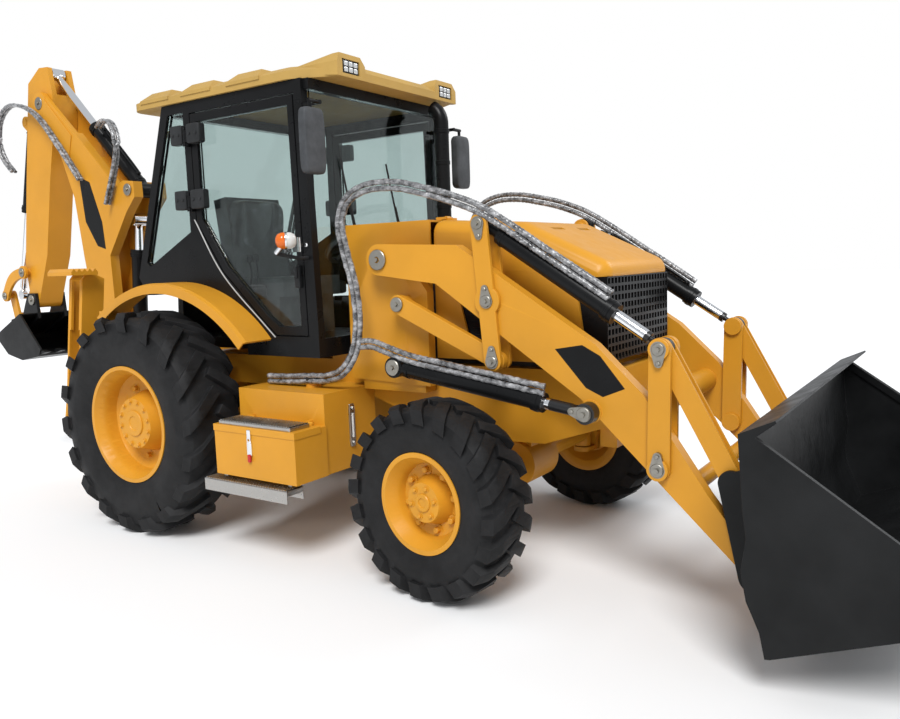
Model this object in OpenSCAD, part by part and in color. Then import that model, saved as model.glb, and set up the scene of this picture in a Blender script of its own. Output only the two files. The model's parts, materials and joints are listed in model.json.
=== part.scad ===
// Backhoe loader with articulated loader, backhoe and stabilisers.
// Millimetres. X forward, Y left, Z up, ground at Z = 0.
// Drawn from the rear axle (x = 0) and moved once by rear_axle_x.

/* [Machine] */
// rear axle position along the length, centres the machine on the origin
rear_axle_x = -732.1; // [-900:0.1:-500]
// distance between the axles
wheelbase = 2267; // [2150:1:2400]
// half width of the cab
cab_half = 680; // [640:1:720]
// top of the cab roof
roof_top = 2830; // [2700:5:2900]
// rear axle to cab front
cab_front = 1300; // [1250:1:1340]

/* [Wheels] */
// rear tyre radius
rear_r = 705; // [680:1:730]
// rear tyre width
rear_w = 430; // [380:1:450]
// rear rim radius
rear_rim_r = 372; // [340:1:400]
// rear wheel centre from the middle
rear_track = 910; // [880:1:925]
// front tyre radius
front_r = 495; // [470:1:510]
// front tyre width
front_w = 310; // [280:1:330]
// front rim radius
front_rim_r = 254; // [235:1:275]
// front wheel centre from the middle
front_track = 912; // [870:1:930]
// steering at rest, to the right
steer_rest = 6; // [0:1:12]

/* [Loader] */
// middle of each loader arm from the centre line
arm_mid = 595; // [580:1:610]
// arm thickness
arm_t = 70; // [60:1:76]
// lever plate thickness
lever_t = 22; // [16:1:26]
// arm pivot height
arm_pivot_z = 1680; // [1640:1:1720]
// bucket half width
bucket_half = 1142; // [1080:1:1180]
// bucket rolled back at rest
bucket_roll = 21.7; // [18:0.1:25]

/* [Backhoe] */
// boom half width
boom_half = 150; // [135:1:165]
// stick half width
stick_half = 108; // [95:1:115]
// hoe bucket half width
hoe_half = 300; // [250:1:350]

/* [Fits] */
// radial room round a pin
pin_gap = 0.5; // [0.3:0.1:1]
// side room between plates that turn
side_gap = 3; // [2:0.5:5]
// gap left where a piece sits on another
seat = 0.3; // [0.2:0.1:0.6]

/* [Hidden] */
$fn = 48;
front_x = wheelbase;
king_y = front_track - 140;
arm_in = arm_mid - arm_t / 2;
arm_out = arm_mid + arm_t / 2;
lever_in = arm_in - side_gap - lever_t;
lever_out = arm_out + side_gap + lever_t;
tower_out = lever_in - 15;
flange_t = 16;
shaft_r = 82;
pin_r = 32;
P_arm = [1720, arm_pivot_z];
P_link = P_arm + [106, -244];
L_mid = P_arm + [698, -224];
L_top = L_mid + [-38, 384];
L_bot = L_mid + [24, -303];
C_rear = P_arm + [130, -577];
C_front = P_arm + [1240, -745];
F_bot = P_arm + [1575, -980];
F_top = F_bot + [7, 544];
B_piv = P_arm + [1992, -1410];
B_link = B_piv + [-98.5, 404.7];
lift_y = 672;
S_foot = [-1520, 850];
S_tip = [-2260, 3100];
S_rod = [-2225, 3353];
S_base = [-1137, 2300];
K_base = [-1330, 1120];
M_boom = [-1250, 2080];
swing_x = -1230;
G_pin = [-2757, 1690];
H_pin = [-3086, 1481];
P_hoe = [-2690, 1440];
Q_hoe = [-3018, 1220];
N_cyl = [-2640, 3000];
stab_x = -930;
O_leg = [800, 700];
U_leg = [545, 800];
B_leg = [665, 1560];

yellow = [0.95, 0.72, 0.08];
black = [0.06, 0.06, 0.06];
grey = [0.45, 0.46, 0.47];
chrome = [0.8, 0.8, 0.82];

module placed() translate([rear_axle_x, 0, 0]) children();
// a side outline (x, z) made solid from y0 over thickness t
module side(y0, t) translate([0, y0 + t, 0]) rotate([90, 0, 0]) linear_extrude(t) children();
module both() {
  children();
  mirror([0, 1, 0]) children();
}
// round pin along Y
module ypin(p, r, y0, y1) translate([p[0], y0, p[1]]) rotate([-90, 0, 0]) cylinder(r = r, h = y1 - y0);
// link outline between two round ends
module link2d(a, b, ra, rb) {
  d = norm(b - a);
  g = atan2(b[1] - a[1], b[0] - a[0]);
  q = acos((ra - rb) / d);
  translate(a) circle(ra);
  translate(b) circle(rb);
  polygon([a + ra * [cos(g + q), sin(g + q)], b + rb * [cos(g + q), sin(g + q)],
    b + rb * [cos(g - q), sin(g - q)], a + ra * [cos(g - q), sin(g - q)]]);
}
module hole2d(p, r) translate(p) circle(r);
// bent link from a to b, w wide, its middle moved aside by bulge
module bent2d(a, b, ra, rb, w, bulge) {
  u = (b - a) / norm(b - a);
  n = [-u[1], u[0]];
  mid = [for (i = [0 : 12]) a + (b - a) * i / 12 + n * bulge * sin(15 * i)];
  translate(a) circle(ra);
  translate(b) circle(rb);
  polygon(concat([for (i = [0 : 12]) mid[i] + n * w / 2], [for (i = [12 : -1 : 0]) mid[i] - n * w / 2]));
}
// cylinder body from a towards b in the plane y, len long, with an eye of width w at a;
// the full barrel starts after neck and the rod of radius rr slides inside
module barrel(a, b, y, r, len, w, eye_r, bore, neck, rr) {
  g = atan2(b[1] - a[1], b[0] - a[0]);
  difference() {
    translate([a[0], y, a[1]]) rotate([0, 90 - g, 0]) {
      cylinder(r = min(r - 4, w / 2 - 4), h = neck + 5);
      translate([0, 0, neck]) cylinder(r = r, h = len - neck);
      translate([0, 0, len - 60]) cylinder(r = r + 7, h = 60);
      rotate([90, 0, 0]) translate([0, 0, -w / 2]) cylinder(r = eye_r, h = w);
    }
    ypin(a, bore, y - w, y + w);
    translate([a[0], y, a[1]]) rotate([0, 90 - g, 0])
      translate([0, 0, neck + 20]) cylinder(r = rr + pin_gap, h = len);
  }
}
// piston rod from a towards b, from distance from0 to the eye at b
module rod(a, b, y, r, from0, w, eye_r) {
  g = atan2(b[1] - a[1], b[0] - a[0]);
  d = norm(b - a);
  translate([a[0], y, a[1]]) rotate([0, 90 - g, 0]) {
    translate([0, 0, from0]) cylinder(r = r, h = d - from0 - eye_r - 30);
    translate([0, 0, d - eye_r - 35]) cylinder(r = min(r - 2, w / 2 - 3), h = eye_r + 30);
  }
  ypin(b, eye_r, y - w / 2, y + w / 2);
}

// wheels

module carcass2d(r, w, rim) polygon([[rim + 0.5, -w * 0.4], [rim + 30, -w * 0.4 - 12], [(r + rim) / 2, -w / 2 + 4],
  [r - 25, -w / 2 + 34], [r, -w / 2 + 80], [r, w / 2 - 80], [r - 25, w / 2 - 34], [(r + rim) / 2, w / 2 - 4],
  [rim + 30, w * 0.4 + 12], [rim + 0.5, w * 0.4]]);
// the space that the tread bars are cut to, out to their tips
module tread2d(r, w, lug) polygon([[r - lug - 70, -w / 2], [r - lug, -w / 2], [r, -w / 2 + 55], [r, w / 2 - 55],
  [r - lug, w / 2], [r - lug - 70, w / 2]]);
// tyre with slanted bars on both halves of its tread, half a pitch apart
module tyre(r, w, rim, lug, bars, bar_w, slant) {
  rotate([90, 0, 0]) rotate_extrude($fn = 96) carcass2d(r - lug, w, rim);
  intersection() {
    rotate([90, 0, 0]) rotate_extrude($fn = 96) tread2d(r, w, lug);
    for (i = [0 : bars - 1], s = [0, 1]) rotate([0, (i + s / 2) * 360 / bars, 0]) mirror([0, s, 0])
      translate([0, 0, r - lug - 130]) rotate([0, 0, slant]) translate([-bar_w / 2, -8, 0])
        cube([bar_w, w * 0.75, lug + 150]);
  }
}
// rim with its outer face towards -Y
module rim(rim_r, w, dish, hub_r, hub_h, bore) {
  b = w * 0.40;
  rotate([90, 0, 0]) rotate_extrude($fn = 96) polygon([[bore, dish - 55], [rim_r * 0.55, dish - 55],
    [rim_r * 0.72, -b + 30], [rim_r - 60, -b + 10], [rim_r - 24, -b - 6], [rim_r, -b - 6], [rim_r, -b + 14],
    [rim_r - 16, -b + 22], [rim_r - 44, -b + 60], [rim_r - 44, b - 60], [rim_r - 16, b - 22], [rim_r, b - 14],
    [rim_r, b + 6], [rim_r - 24, b + 6], [rim_r - 58, b - 50], [rim_r - 64, dish + 30], [rim_r * 0.72, dish],
    [hub_r + 14, dish - 8], [hub_r, dish + hub_h * 0.35], [hub_r * 0.86, dish + hub_h],
    [0.1, dish + hub_h], [0.1, dish + hub_h - 40], [bore, dish + hub_h - 40]]);
}
// rectangle with round corners
module rounded2d(w, h, c) {
  translate([c, 0]) square([w - 2 * c, h]);
  translate([0, c]) square([w, h - 2 * c]);
  for (x = [c, w - c], y = [c, h - c]) translate([x, y]) circle(c);
}
module front_turn(s) translate([front_x, s * king_y, front_r]) rotate([0, 0, -steer_rest]) children();
module front_tyre(s) color(black) placed() front_turn(s) translate([0, s * 140, 0])
  tyre(front_r, front_w, front_rim_r, 24, 20, 62, -32);
module front_rim(s) color(yellow) placed() front_turn(s) translate([0, s * 140, 0]) mirror([0, s > 0 ? 1 : 0, 0])
  rim(front_rim_r, front_w, 30, 115, 70, 50);
module rear_tyre(s) color(black) placed() translate([0, s * rear_track, rear_r])
  tyre(rear_r, rear_w, rear_rim_r, 36, 18, 66, -40);
module rear_rim(s) color(yellow) placed() translate([0, s * rear_track, rear_r]) mirror([0, s > 0 ? 1 : 0, 0])
  rim(rear_rim_r, rear_w, 10, 185, 110, 65);
module tyre_front_right() front_tyre(-1);
module tyre_front_left() front_tyre(1);
module tyre_rear_right() rear_tyre(-1);
module tyre_rear_left() rear_tyre(1);
module rim_front_right() front_rim(-1);
module rim_front_left() front_rim(1);
module rim_rear_right() rear_rim(-1);
module rim_rear_left() rear_rim(1);
// steering knuckle round the axle end boss
module knuckle(s) color(yellow) placed() front_turn(s) mirror([0, s < 0 ? 1 : 0, 0]) {
  difference() {
    union() {
      translate([-65, 62, -115]) cube([130, 30, 230]);
      for (z = [-115, 85]) translate([0, 0, z]) cylinder(r = 60, h = 30);
      for (z = [-115, 85]) translate([-60, 0, z]) cube([120, 70, 30]);
      rotate([-90, 0, 0]) translate([0, 0, 62]) cylinder(r = 70, h = 42);
    }
  }
  translate([0, 0, -115]) cylinder(r = 28, h = 230);
  rotate([-90, 0, 0]) translate([0, 0, 90]) cylinder(r = 50 - pin_gap, h = 100);
}
module knuckle_right() knuckle(-1);
module knuckle_left() knuckle(1);

module axles() color(yellow) placed() {
  translate([front_x, 0, front_r]) {
    difference() {
      union() {
        rotate([90, 0, 0]) translate([0, 0, -king_y]) cylinder(r = 50, h = 2 * king_y);
        both() translate([0, king_y, -80]) cylinder(r = 52, h = 160);
      }
      both() translate([0, king_y, -120]) cylinder(r = 28 + pin_gap, h = 240);
    }
    rotate([90, 0, 0]) translate([0, 0, -150]) cylinder(r = 130, h = 300);
    translate([-90, -110, 100]) cube([180, 220, 100]);
  }
  translate([0, 0, rear_r]) {
    rotate([90, 0, 0]) translate([0, 0, 210 - rear_track]) cylinder(r = 105, h = 2 * rear_track - 420);
    rotate([90, 0, 0]) translate([0, 0, -190]) cylinder(r = 200, h = 380);
    both() rotate([-90, 0, 0]) translate([0, 0, rear_track - 260]) cylinder(r = 190, h = 120);
    both() rotate([-90, 0, 0]) translate([0, 0, rear_track - 150]) cylinder(r = 65 - pin_gap, h = 180);
    both() translate([-130, 330, 60]) cube([260, 80, 900 - rear_r - 60 - seat]);
  }
}

// chassis

module chassis_frame() color(yellow) placed() {
  // rails
  both() translate([-900, 330, 900]) cube([3000, 80, 190]);
  both() side(330, 80) polygon([[1400, 900], [2050, 680], [2600, 700], [2960, 820], [2960, 1090], [1400, 1090]]);
  for (x = [-300, 500, 1300]) translate([x, -340, 930]) cube([90, 680, 130]);
  translate([2880, -340, 700]) cube([90, 680, 390]);
  // cab rests
  both() for (x = [-200, 1150]) translate([x, 330, 1085]) cube([120, 80, 45 - seat]);
  // axle bolster
  translate([front_x - 110, -340, front_r + 200 + seat]) cube([220, 680, 60]);
  // loader towers with their pins
  both() {
    side(tower_out - 60, 60) difference() {
      polygon([[1400, 1000], [1960, 980], [1960, 1500], [1860, 1640], [1800, 1760], [1620, 1760], [1480, 1500],
        [1400, 1300]]);
    }
    translate([1480, 330, 940]) cube([440, tower_out - 340, 150]);
    ypin(P_arm, pin_r, tower_out - 10, arm_out + 8);
    ypin(P_arm, 60, tower_out - 5, arm_in - side_gap);
    ypin(P_link, 26, tower_out - 10, arm_mid + 26);
    ypin(P_link, 46, tower_out - 5, arm_mid - 20 - side_gap);
    ypin(C_rear, 30, tower_out - 10, lift_y + 36);
    ypin(C_rear, 55, tower_out - 5, lift_y - 52);
  }
  // cowl behind the hood
  difference() {
    translate([1340, -450, 1080]) cube([603, 900, 808]);
    translate([1352, -438, 1000]) cube([700, 876, 876]);
    translate([exhaust[0], exhaust[1], 1800]) cylinder(r = 50, h = 200);
  }
  // hood hinge pins
  both() {
    for (y = [250, 312]) {
      translate([1905, y, 1880]) cube([38, 18, 25]);
      translate([1905, y, 1891]) cube([60, 18, 14]);
    }
    ypin([hood_hinge_x, hood_hinge_z], 7, 255, 325);
  }
  // tow eye
  difference() {
    side(-20, 40) union() {
      translate([3020, 760]) circle(50);
      translate([2960, 710]) square([60, 100]);
    }
    ypin([3020, 760], 22, -40, 40);
  }
}

// rear frame that carries the stabilisers and the swing post
module rear_frame() color(yellow) placed() {
  translate([-1035, -520, 480]) cube([30, 1040, 640]);
  both() translate([-1010, 330, 900]) cube([110 - seat, 80, 190]);
  both() translate([-1035, 330, 480]) cube([220, 430, 25]);
  for (z = [470, 950]) difference() {
    union() {
      translate([swing_x, 0, z]) cylinder(r = 110, h = 60);
      translate([swing_x, -110, z]) cube([200, 220, 60]);
    }
    translate([swing_x, 0, z - 1]) cylinder(r = 55 + pin_gap, h = 62);
  }
  // stabiliser brackets
  both() difference() {
    for (x = [stab_x - 115, stab_x + 90]) translate([x, 480, 0]) rotate([90, 0, 90]) linear_extrude(25)
      polygon([[0, 480], [360, 480], [400, 640], [380, 760], [280, 800], [120, 880], [0, 900]]);
    xpin(O_leg, 30 + pin_gap, stab_x - 200, stab_x + 200);
  }
  both() xpin(U_leg, 26 - pin_gap, -1030, stab_x + 60);
}

exhaust = [1475, 385];
module engine() color(grey) placed() {
  translate([1500, -250, 1095]) cube([1250, 500, 520]);
  translate([1600, -200, front_r + 260 + 2 * seat]) cube([900, 400, 350]);
  // exhaust stack with its bent tip
  translate([exhaust[0], exhaust[1], 1180]) cylinder(r = 45, h = 1370);
  translate([exhaust[0], 200, 1180]) cube([80, 190, 80]);
  translate([exhaust[0] - 120, exhaust[1], 2550]) rotate([90, 0, 0])
    rotate_extrude(angle = 60, $fn = 48) translate([120, 0]) circle(45, $fn = 24);
}

// cab

roof_front = cab_front + 160;
cab_rear_low = [-330, 1620];
cab_rear_top = [60, roof_top - 170];
module cab_frame() color(black) placed() {
  // floor
  translate([700, -cab_half, 1130]) cube([cab_front - 700, 2 * cab_half, 70]);
  translate([-300, -420, 1130]) cube([1010, 840, 70]);
  // side frames with the door and quarter openings
  both() side(cab_half - 50, 50) difference() {
    polygon([[cab_front, 1180], [cab_front, 1300], [cab_front - 40, roof_top - 128 - seat], [40, roof_top - 128 - seat],
      cab_rear_low, [-250, 1500], [300, 1540], [640, 1420], [900, 1180]]);
    // door opening
    polygon([[1225, 1250], [1200, roof_top - 200], [300, roof_top - 200], [300, 1960], [520, 1640], [860, 1330],
      [960, 1250]]);
    // rear quarter opening
    polygon([[240, roof_top - 190], [90, roof_top - 190], [-230, 1720], [-200, 1690], [240, 1900]]);
  }
  // front and rear cross pieces
  for (z = [1180, roof_top - 190]) translate([cab_front - 60, -cab_half + 20, z]) cube([60, 2 * cab_half - 40, 60]);
  translate([-60, -cab_half + 20, roof_top - 190]) translate([90, 0, 0]) cube([60, 2 * cab_half - 40, 60]);
  side(-cab_half + 20, 2 * cab_half - 40) polygon([[-330, 1620], [-250, 1500], [-200, 1500], [-270, 1640]]);
  // wall between the seat and the rear axle
  side(-420, 840) polygon([[-300, 1140], [-240, 1140], [-220, 1520], [-270, 1520]]);
  // door hinge lugs and pins
  both() for (z = [2050, 2450]) {
    for (k = [z - 24, z + 72]) translate([door_pin[0] - 20, cab_half - 20, k]) cube([25, 62, 22]);
    translate([door_pin[0], door_pin[1], z - 24]) cylinder(r = 10, h = 118);
  }
  // mirrors on their arms
  both() {
    translate([cab_front - 70, cab_half - 14, 2555]) rotate([0, 90, 0]) cylinder(r = 11, h = 161);
    translate([cab_front + 80, cab_half - 14, 2555]) rotate([-90, 0, 0]) cylinder(r = 11, h = 85);
    translate([cab_front + 80, cab_half + 60, 2495]) cylinder(r = 10, h = 60);
    translate([cab_front + 60, cab_half - 14, 2165]) rotate([90, 0, 90]) linear_extrude(42) rounded2d(150, 345, 34);
  }
}
// rounded plate in plan, from x0 to x1 and h to each side, narrowing to f at its front
module roof2d(h, x0, x1, f, c) hull() both2d() {
  translate([x0 + c, h - c]) circle(c, $fn = 24);
  translate([x1 - 300, h - c]) circle(c, $fn = 24);
  translate([x1 - c, f - c]) circle(c, $fn = 24);
}
module both2d() {
  children();
  mirror([0, 1]) children();
}
// one raised rib across the roof, running out at both sides
module roof_rib(x, len, h, rise) hull() {
  translate([x, -h, roof_top - 96]) cube([len, 2 * h, 20]);
  translate([x + 40, -h + 70, roof_top - 46]) cube([len - 80, 2 * h - 140, rise]);
}
module cab_roof() color(yellow) placed() difference() {
  union() {
    hull() {
      translate([0, 0, roof_top - 128]) linear_extrude(46) roof2d(cab_half + 20, -250, roof_front, 590, 90);
      translate([0, 0, roof_top - 60]) linear_extrude(18) roof2d(cab_half - 60, -190, roof_front - 50, 530, 90);
    }
    for (x = [-140, 260, 680]) roof_rib(x, 280, cab_half + 26, 24);
    // lamp pods at the front corners
    both() hull() {
      translate([roof_front - 330, 330, roof_top - 90]) cube([20, 300, 30]);
      translate([roof_front - 20, 350, roof_top - 128]) cube([20, 240, 80]);
      translate([roof_front - 60, 380, roof_top - 20]) cube([50, 180, 20]);
    }
  }
  both() translate([roof_front - 30, 395, roof_top - 108]) cube([60, 150, 78]);
}
module cab_glass() color([0.1, 0.13, 0.14]) placed() {
  translate([cab_front - 30, -cab_half + 50 + seat, 1240 + seat])
    cube([8, 2 * cab_half - 100 - 2 * seat, roof_top - 1430 - 2 * seat]);
  both() side(cab_half - 30, 8) polygon([[240 - seat, roof_top - 190 - seat], [90 + seat, roof_top - 190 - seat],
    [-230 + seat, 1720 + seat],
    [-200, 1690 + seat], [240 - seat, 1900 + seat]]);
  side(-cab_half + 50 + seat, 2 * cab_half - 100 - 2 * seat)
    polygon([[-275, 1640 + seat], [-267, 1640 + seat], [60, roof_top - 190 - seat],
    [52, roof_top - 190 - seat]]);
}
module cab_interior() color(grey) placed() {
  translate([150, -260, 1200 + seat]) cube([420, 520, 262]);
  translate([130, -270, 1462]) cube([500, 540, 130]);
  translate([60, -250, 1520]) rotate([0, -8, 0]) cube([120, 500, 620]);
  translate([1130, -130, 1200 + seat]) cube([109, 260, 562]);
  translate([1010, 0, 1780]) rotate([0, -35, 0]) difference() {
    cylinder(r = 190, h = 30);
    translate([0, 0, -1]) cylinder(r = 160, h = 32);
  }
  translate([1150, 0, 1700]) rotate([0, -55, 0]) cylinder(r = 30, h = 175);
  translate([1010, 0, 1780]) rotate([0, -35, 0]) translate([-170, -20, 0]) cube([340, 40, 25]);
}
module door2d() polygon([[1216, 1256], [1190, roof_top - 206], [306, roof_top - 206], [306, 1962], [524, 1645],
  [863, 1337], [962, 1256]]);
module door_hole2d() polygon([[1165, 1310], [1145, roof_top - 260], [360, roof_top - 260], [360, 1975], [560, 1682],
  [895, 1372], [985, 1310]]);
door_pin = [295, cab_half + 26];
module door(s) color(black) placed() mirror([0, s < 0 ? 1 : 0, 0]) {
  side(cab_half - 45, 45) difference() {
    door2d();
    door_hole2d();
  }
  for (z = [2050, 2450]) {
    difference() {
      union() {
        translate([door_pin[0], door_pin[1], z]) cylinder(r = 20, h = 70);
        translate([door_pin[0], cab_half + 8, z]) cube([95, 36, 70]);
        translate([330, cab_half - 10, z]) cube([60, 30, 70]);
      }
      translate([door_pin[0], door_pin[1], z - 1]) cylinder(r = 10 + pin_gap, h = 72);
    }
  }
}
module door_glass(s) color([0.1, 0.13, 0.14]) placed() mirror([0, s < 0 ? 1 : 0, 0])
  side(cab_half - 30, 8) polygon([[1164, 1311], [1144, roof_top - 261], [361, roof_top - 261], [361, 1975],
    [561, 1682], [896, 1373], [985, 1311]]);
module door_right() door(-1);
module door_left() door(1);
module door_right_glass() door_glass(-1);
module door_left_glass() door_glass(1);

fend_c = [120, 520];
fend_from = 42;
fend_sweep = 85;
// arched plate with a rolled lip at its outer edge
module fenders() color(yellow) placed() both() {
  translate([fend_c[0] + 1057 * cos(124) - 45, cab_half + 90, fend_c[1] + 1057 * sin(124) - 72]) cube([50, 110, 80]);
  fender();
}
module fender() translate([fend_c[0], cab_half + seat, fend_c[1]]) rotate([90, 0, 0])
  mirror([0, 0, 1]) rotate([0, 0, fend_from]) rotate_extrude(angle = fend_sweep, $fn = 96)
    polygon([[1050, 0], [1065, 0], [1065, 196], [1056, 220], [1000, 220], [1000, 208], [1046, 208], [1050, 196]]);
module side_boxes() color(yellow) placed() {
  both() translate([790, 410 + seat, 500]) cube([680, 440, 455]);
  translate([790, 845, 500]) cube([680, 245, 300]);
  // tool box shell on the right
  translate([850, -1100, 500]) difference() {
    cube([630, 249, 250]);
    translate([12, 12, 12]) cube([606, 225, 300]);
  }
  translate([850, -890, 745]) cube([630, 40, 35]);
  for (x = [900, 1360]) translate([x, -lid_hinge_y - 5, 745]) cube([20, 54, 60]);
  for (x = [905, 1365]) xpin([-lid_hinge_y, lid_hinge_z], 6, x, x + 60);
  translate([1200, -640, 950]) cylinder(r = 45, h = 60);
}
lid_hinge_y = 892;
lid_hinge_z = 794;
module tool_box_lid() color(yellow) placed() {
  translate([846, -1104, 750 + seat]) cube([638, 205, 38]);
  translate([880, -1090, 787]) cube([560, 150, 20]);
  for (x = [925, 1385]) difference() {
    union() {
      xpin([-lid_hinge_y, lid_hinge_z], 12, x, x + 36);
      translate([x, -960, 780]) cube([36, 68, 12]);
    }
    xpin([-lid_hinge_y, lid_hinge_z], 6 + pin_gap, x - 1, x + 37);
  }
}
module steps() color(grey) placed() both() {
  difference() {
    translate([770, 1000, 400]) cube([660, 130, 70]);
    translate([760, 1008, 380]) cube([680, 114, 60]);
  }
  for (x = [860, 1370]) translate([x, 1030, 462]) cube([30, 30, 38 - seat]);
}
module lamps() color([0.9, 0.9, 0.85]) placed() {
  both() translate([roof_front - 30 + seat, 405, roof_top - 103]) cube([24, 130, 68]);
  both() translate([cab_front - 60, cab_half + seat, 1780]) rotate([-90, 0, 0]) cylinder(r = 10, h = 120);
  both() translate([cab_front - 60, cab_half + 110, 1740]) rotate([0, 0, 0]) cylinder(r = 45, h = 80);
}

// hood

hood_half = 440;
vent_x = 2130;
vent_z = 1398;
hood_edge = 80;
hood_hinge_x = 1957;
hood_hinge_z = 1897;
module hood2d() polygon([[1960, 1885], [2480, 1850], [2960, 1620], [2960, 1560], [2800, 1560], [2860, 1130],
  [1960, 1130]]);
// rounded top cover between the hinge and the nose, t inside its outer face
module hood_cover(t) hull() both() {
  for (p = [[1990, 1885], [2480, 1850], [2890, 1655]]) translate([p[0], hood_half - hood_edge, p[1] - hood_edge])
    sphere(hood_edge - t, $fn = 32);
  translate([1960, 0, 1560]) cube([960 - t, hood_half - t, 20]);
}
module hood() color(yellow) placed() {
  hood_shell();
  both() difference() {
    union() {
      ypin([hood_hinge_x, hood_hinge_z], 13, 271, 309);
      translate([hood_hinge_x, 271, 1875]) cube([50, 38, 22]);
    }
    ypin([hood_hinge_x, hood_hinge_z], 7 + pin_gap, 260, 320);
    translate([1940, 260, 1850]) cube([20, 60, 34]);
  }
}
module hood_shell() difference() {
  union() {
    intersection() {
      hood_cover(0);
      side(-hood_half, 2 * hood_half) polygon([[1960, 1560], [1960, 1900], [3000, 1900], [3000, 1560]]);
    }
    side(-hood_half, 2 * hood_half) polygon([[1960, 1130], [1960, 1600], [2800, 1600], [2800, 1560],
      [2860, 1130]]);
  }
  intersection() {
    hood_cover(14);
    side(-hood_half, 2 * hood_half) polygon([[1900, 1572], [1900, 1900], [3000, 1900], [3000, 1572]]);
  }
  side(-hood_half + 14, 2 * hood_half - 28) polygon([[1900, 1000], [1900, 1640], [2780, 1640], [2840, 1000]]);
  // slanted vent in each side, and two slits on top
  side(-hood_half - 5, 2 * hood_half + 10) translate([vent_x, vent_z])
    polygon([[-8, 32], [150, 12], [176, -205], [48, -185]]);
  for (y = [-230, 90]) translate([2560, y, 1600]) cube([26, 140, 300]);
}
// pierced screen that wraps round the nose, with louvres in the side vents
module screen2d(w, h, nx, ny) difference() {
  square([w, h]);
  for (i = [0 : nx - 1], k = [0 : ny - 1])
    translate([(i + 0.5) * w / nx, (k + 0.5) * h / ny]) square([0.66 * w / nx, 0.66 * h / ny], center = true);
}
module grille() color(black) placed() {
  w = 2 * hood_half - 28;
  translate([2950, -w / 2, 1140]) rotate([90, 0, 90]) linear_extrude(14) screen2d(w, 420 - seat, 20, 10);
  both() side(w / 2 - 14, 14)
    polygon([[2800 + 2 * seat, 1560 - seat], [2960, 1560 - seat], [2960, 1140], [2859, 1140]]);
  translate([2859, -w / 2, 1140]) cube([100, w, 14]);
  both() side(hood_half - 22 - seat, 8) translate([vent_x, vent_z])
    polygon([[-28, 52], [170, 28], [200, -228], [30, -204]]);
  both() for (k = [1 : 4])
    translate([vent_x + 38 + 8 * k, hood_half - 16 - seat, vent_z - 36 * k]) cube([84, 10, 12]);
}

// loader

module arm2d() {
  difference() {
    union() {
      polygon([P_arm + [0, 85], P_arm + [508, 61], P_arm + [1265, -426], P_arm + [1494, -644],
        P_arm + [1790, -1078], P_arm + [1930, -1258],
        B_piv + [48, 42], B_piv + [-54, -52], P_arm + [1940, -1402], P_arm + [1190, -688], P_arm + [375, -134],
        P_arm + [0, -85]]);
      translate(P_arm) circle(85);
      translate(B_piv) circle(75);
    }
    hole2d(P_arm, pin_r + pin_gap);
    hole2d(L_mid, 28);
    hole2d(F_bot, 30 + pin_gap);
    hole2d(B_piv, 30 + pin_gap);
  }
}
T1 = P_arm + [1420, -750];
T2 = P_arm + [1660, -1100];
module loader_arms() color(yellow) placed() {
  both() {
    side(arm_in, arm_t) arm2d();
    ypin(C_front, 55, arm_out - 5, lift_y - 31 - side_gap);
    ypin(L_mid, 28, lever_in - 6, lever_out + 6);
  }
  ypin(T1, 65, -arm_in - 5, arm_in + 5);
  ypin(T2, 42, -arm_in - 5, arm_in + 5);
}
module lower_links() color(yellow) placed() both() side(arm_mid - 20, 40) difference() {
  link2d(P_link, L_bot, 52, 46);
  hole2d(P_link, 26 + pin_gap);
}
module mid_levers() color(yellow) placed() both() {
  for (y = [lever_in, lever_out - lever_t]) side(y, lever_t) difference() {
    union() {
      link2d(L_bot, L_top, 48, 48);
      hole2d(L_mid, 72);
    }
    hole2d(L_mid, 28 + pin_gap);
  }
  ypin(L_top, 26, lever_in - 8, lever_out + 8);
}
module tilt_barrels() color(black) placed() both()
  barrel(L_top, F_top, arm_mid, 46, 830, 60, 52, 26 + pin_gap, 110, 28);
module tilt_rods() color(chrome) placed() both() rod(L_top, F_top, arm_mid, 28, 300, 32, 46);
// a pin's flange outside each lever plate
module flanges(p, r) for (y = [lever_in - flange_t - 2, lever_out + 2]) side(y, flange_t) hole2d(p, r);
module lever_pins() color(yellow) placed() both() {
  ypin(F_bot, 30, lever_in - flange_t - 2, lever_out + flange_t + 2);
  flanges(F_bot, 50);
}
module front_levers() color(yellow) placed() both()
  for (y = [lever_in, lever_out - lever_t]) side(y, lever_t) difference() {
  link2d(F_bot, F_top, 52, 50);
  hole2d(F_bot, 30 + pin_gap);
  hole2d(F_top, 26 + pin_gap);
}
module link_pins() color(yellow) placed() both() {
  ypin(F_top, 26, lever_in - flange_t - 2, arm_mid - 18);
  ypin(F_top, 26, arm_mid + 18, lever_out + flange_t + 2);
  flanges(F_top, 48);
}
module bucket_links() color(yellow) placed() both() {
  for (y = [arm_mid - 32, arm_mid + 18]) side(y, 14) difference() {
    link2d(F_top, B_link, 46, 46);
    hole2d(F_top, 26 + pin_gap);
  }
  ypin(B_link, 26, arm_mid - 32, arm_mid + 32);
  side(arm_mid - 20, 40) link2d(F_top * 0.45 + B_link * 0.55, F_top * 0.2 + B_link * 0.8, 28, 28);
}
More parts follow.
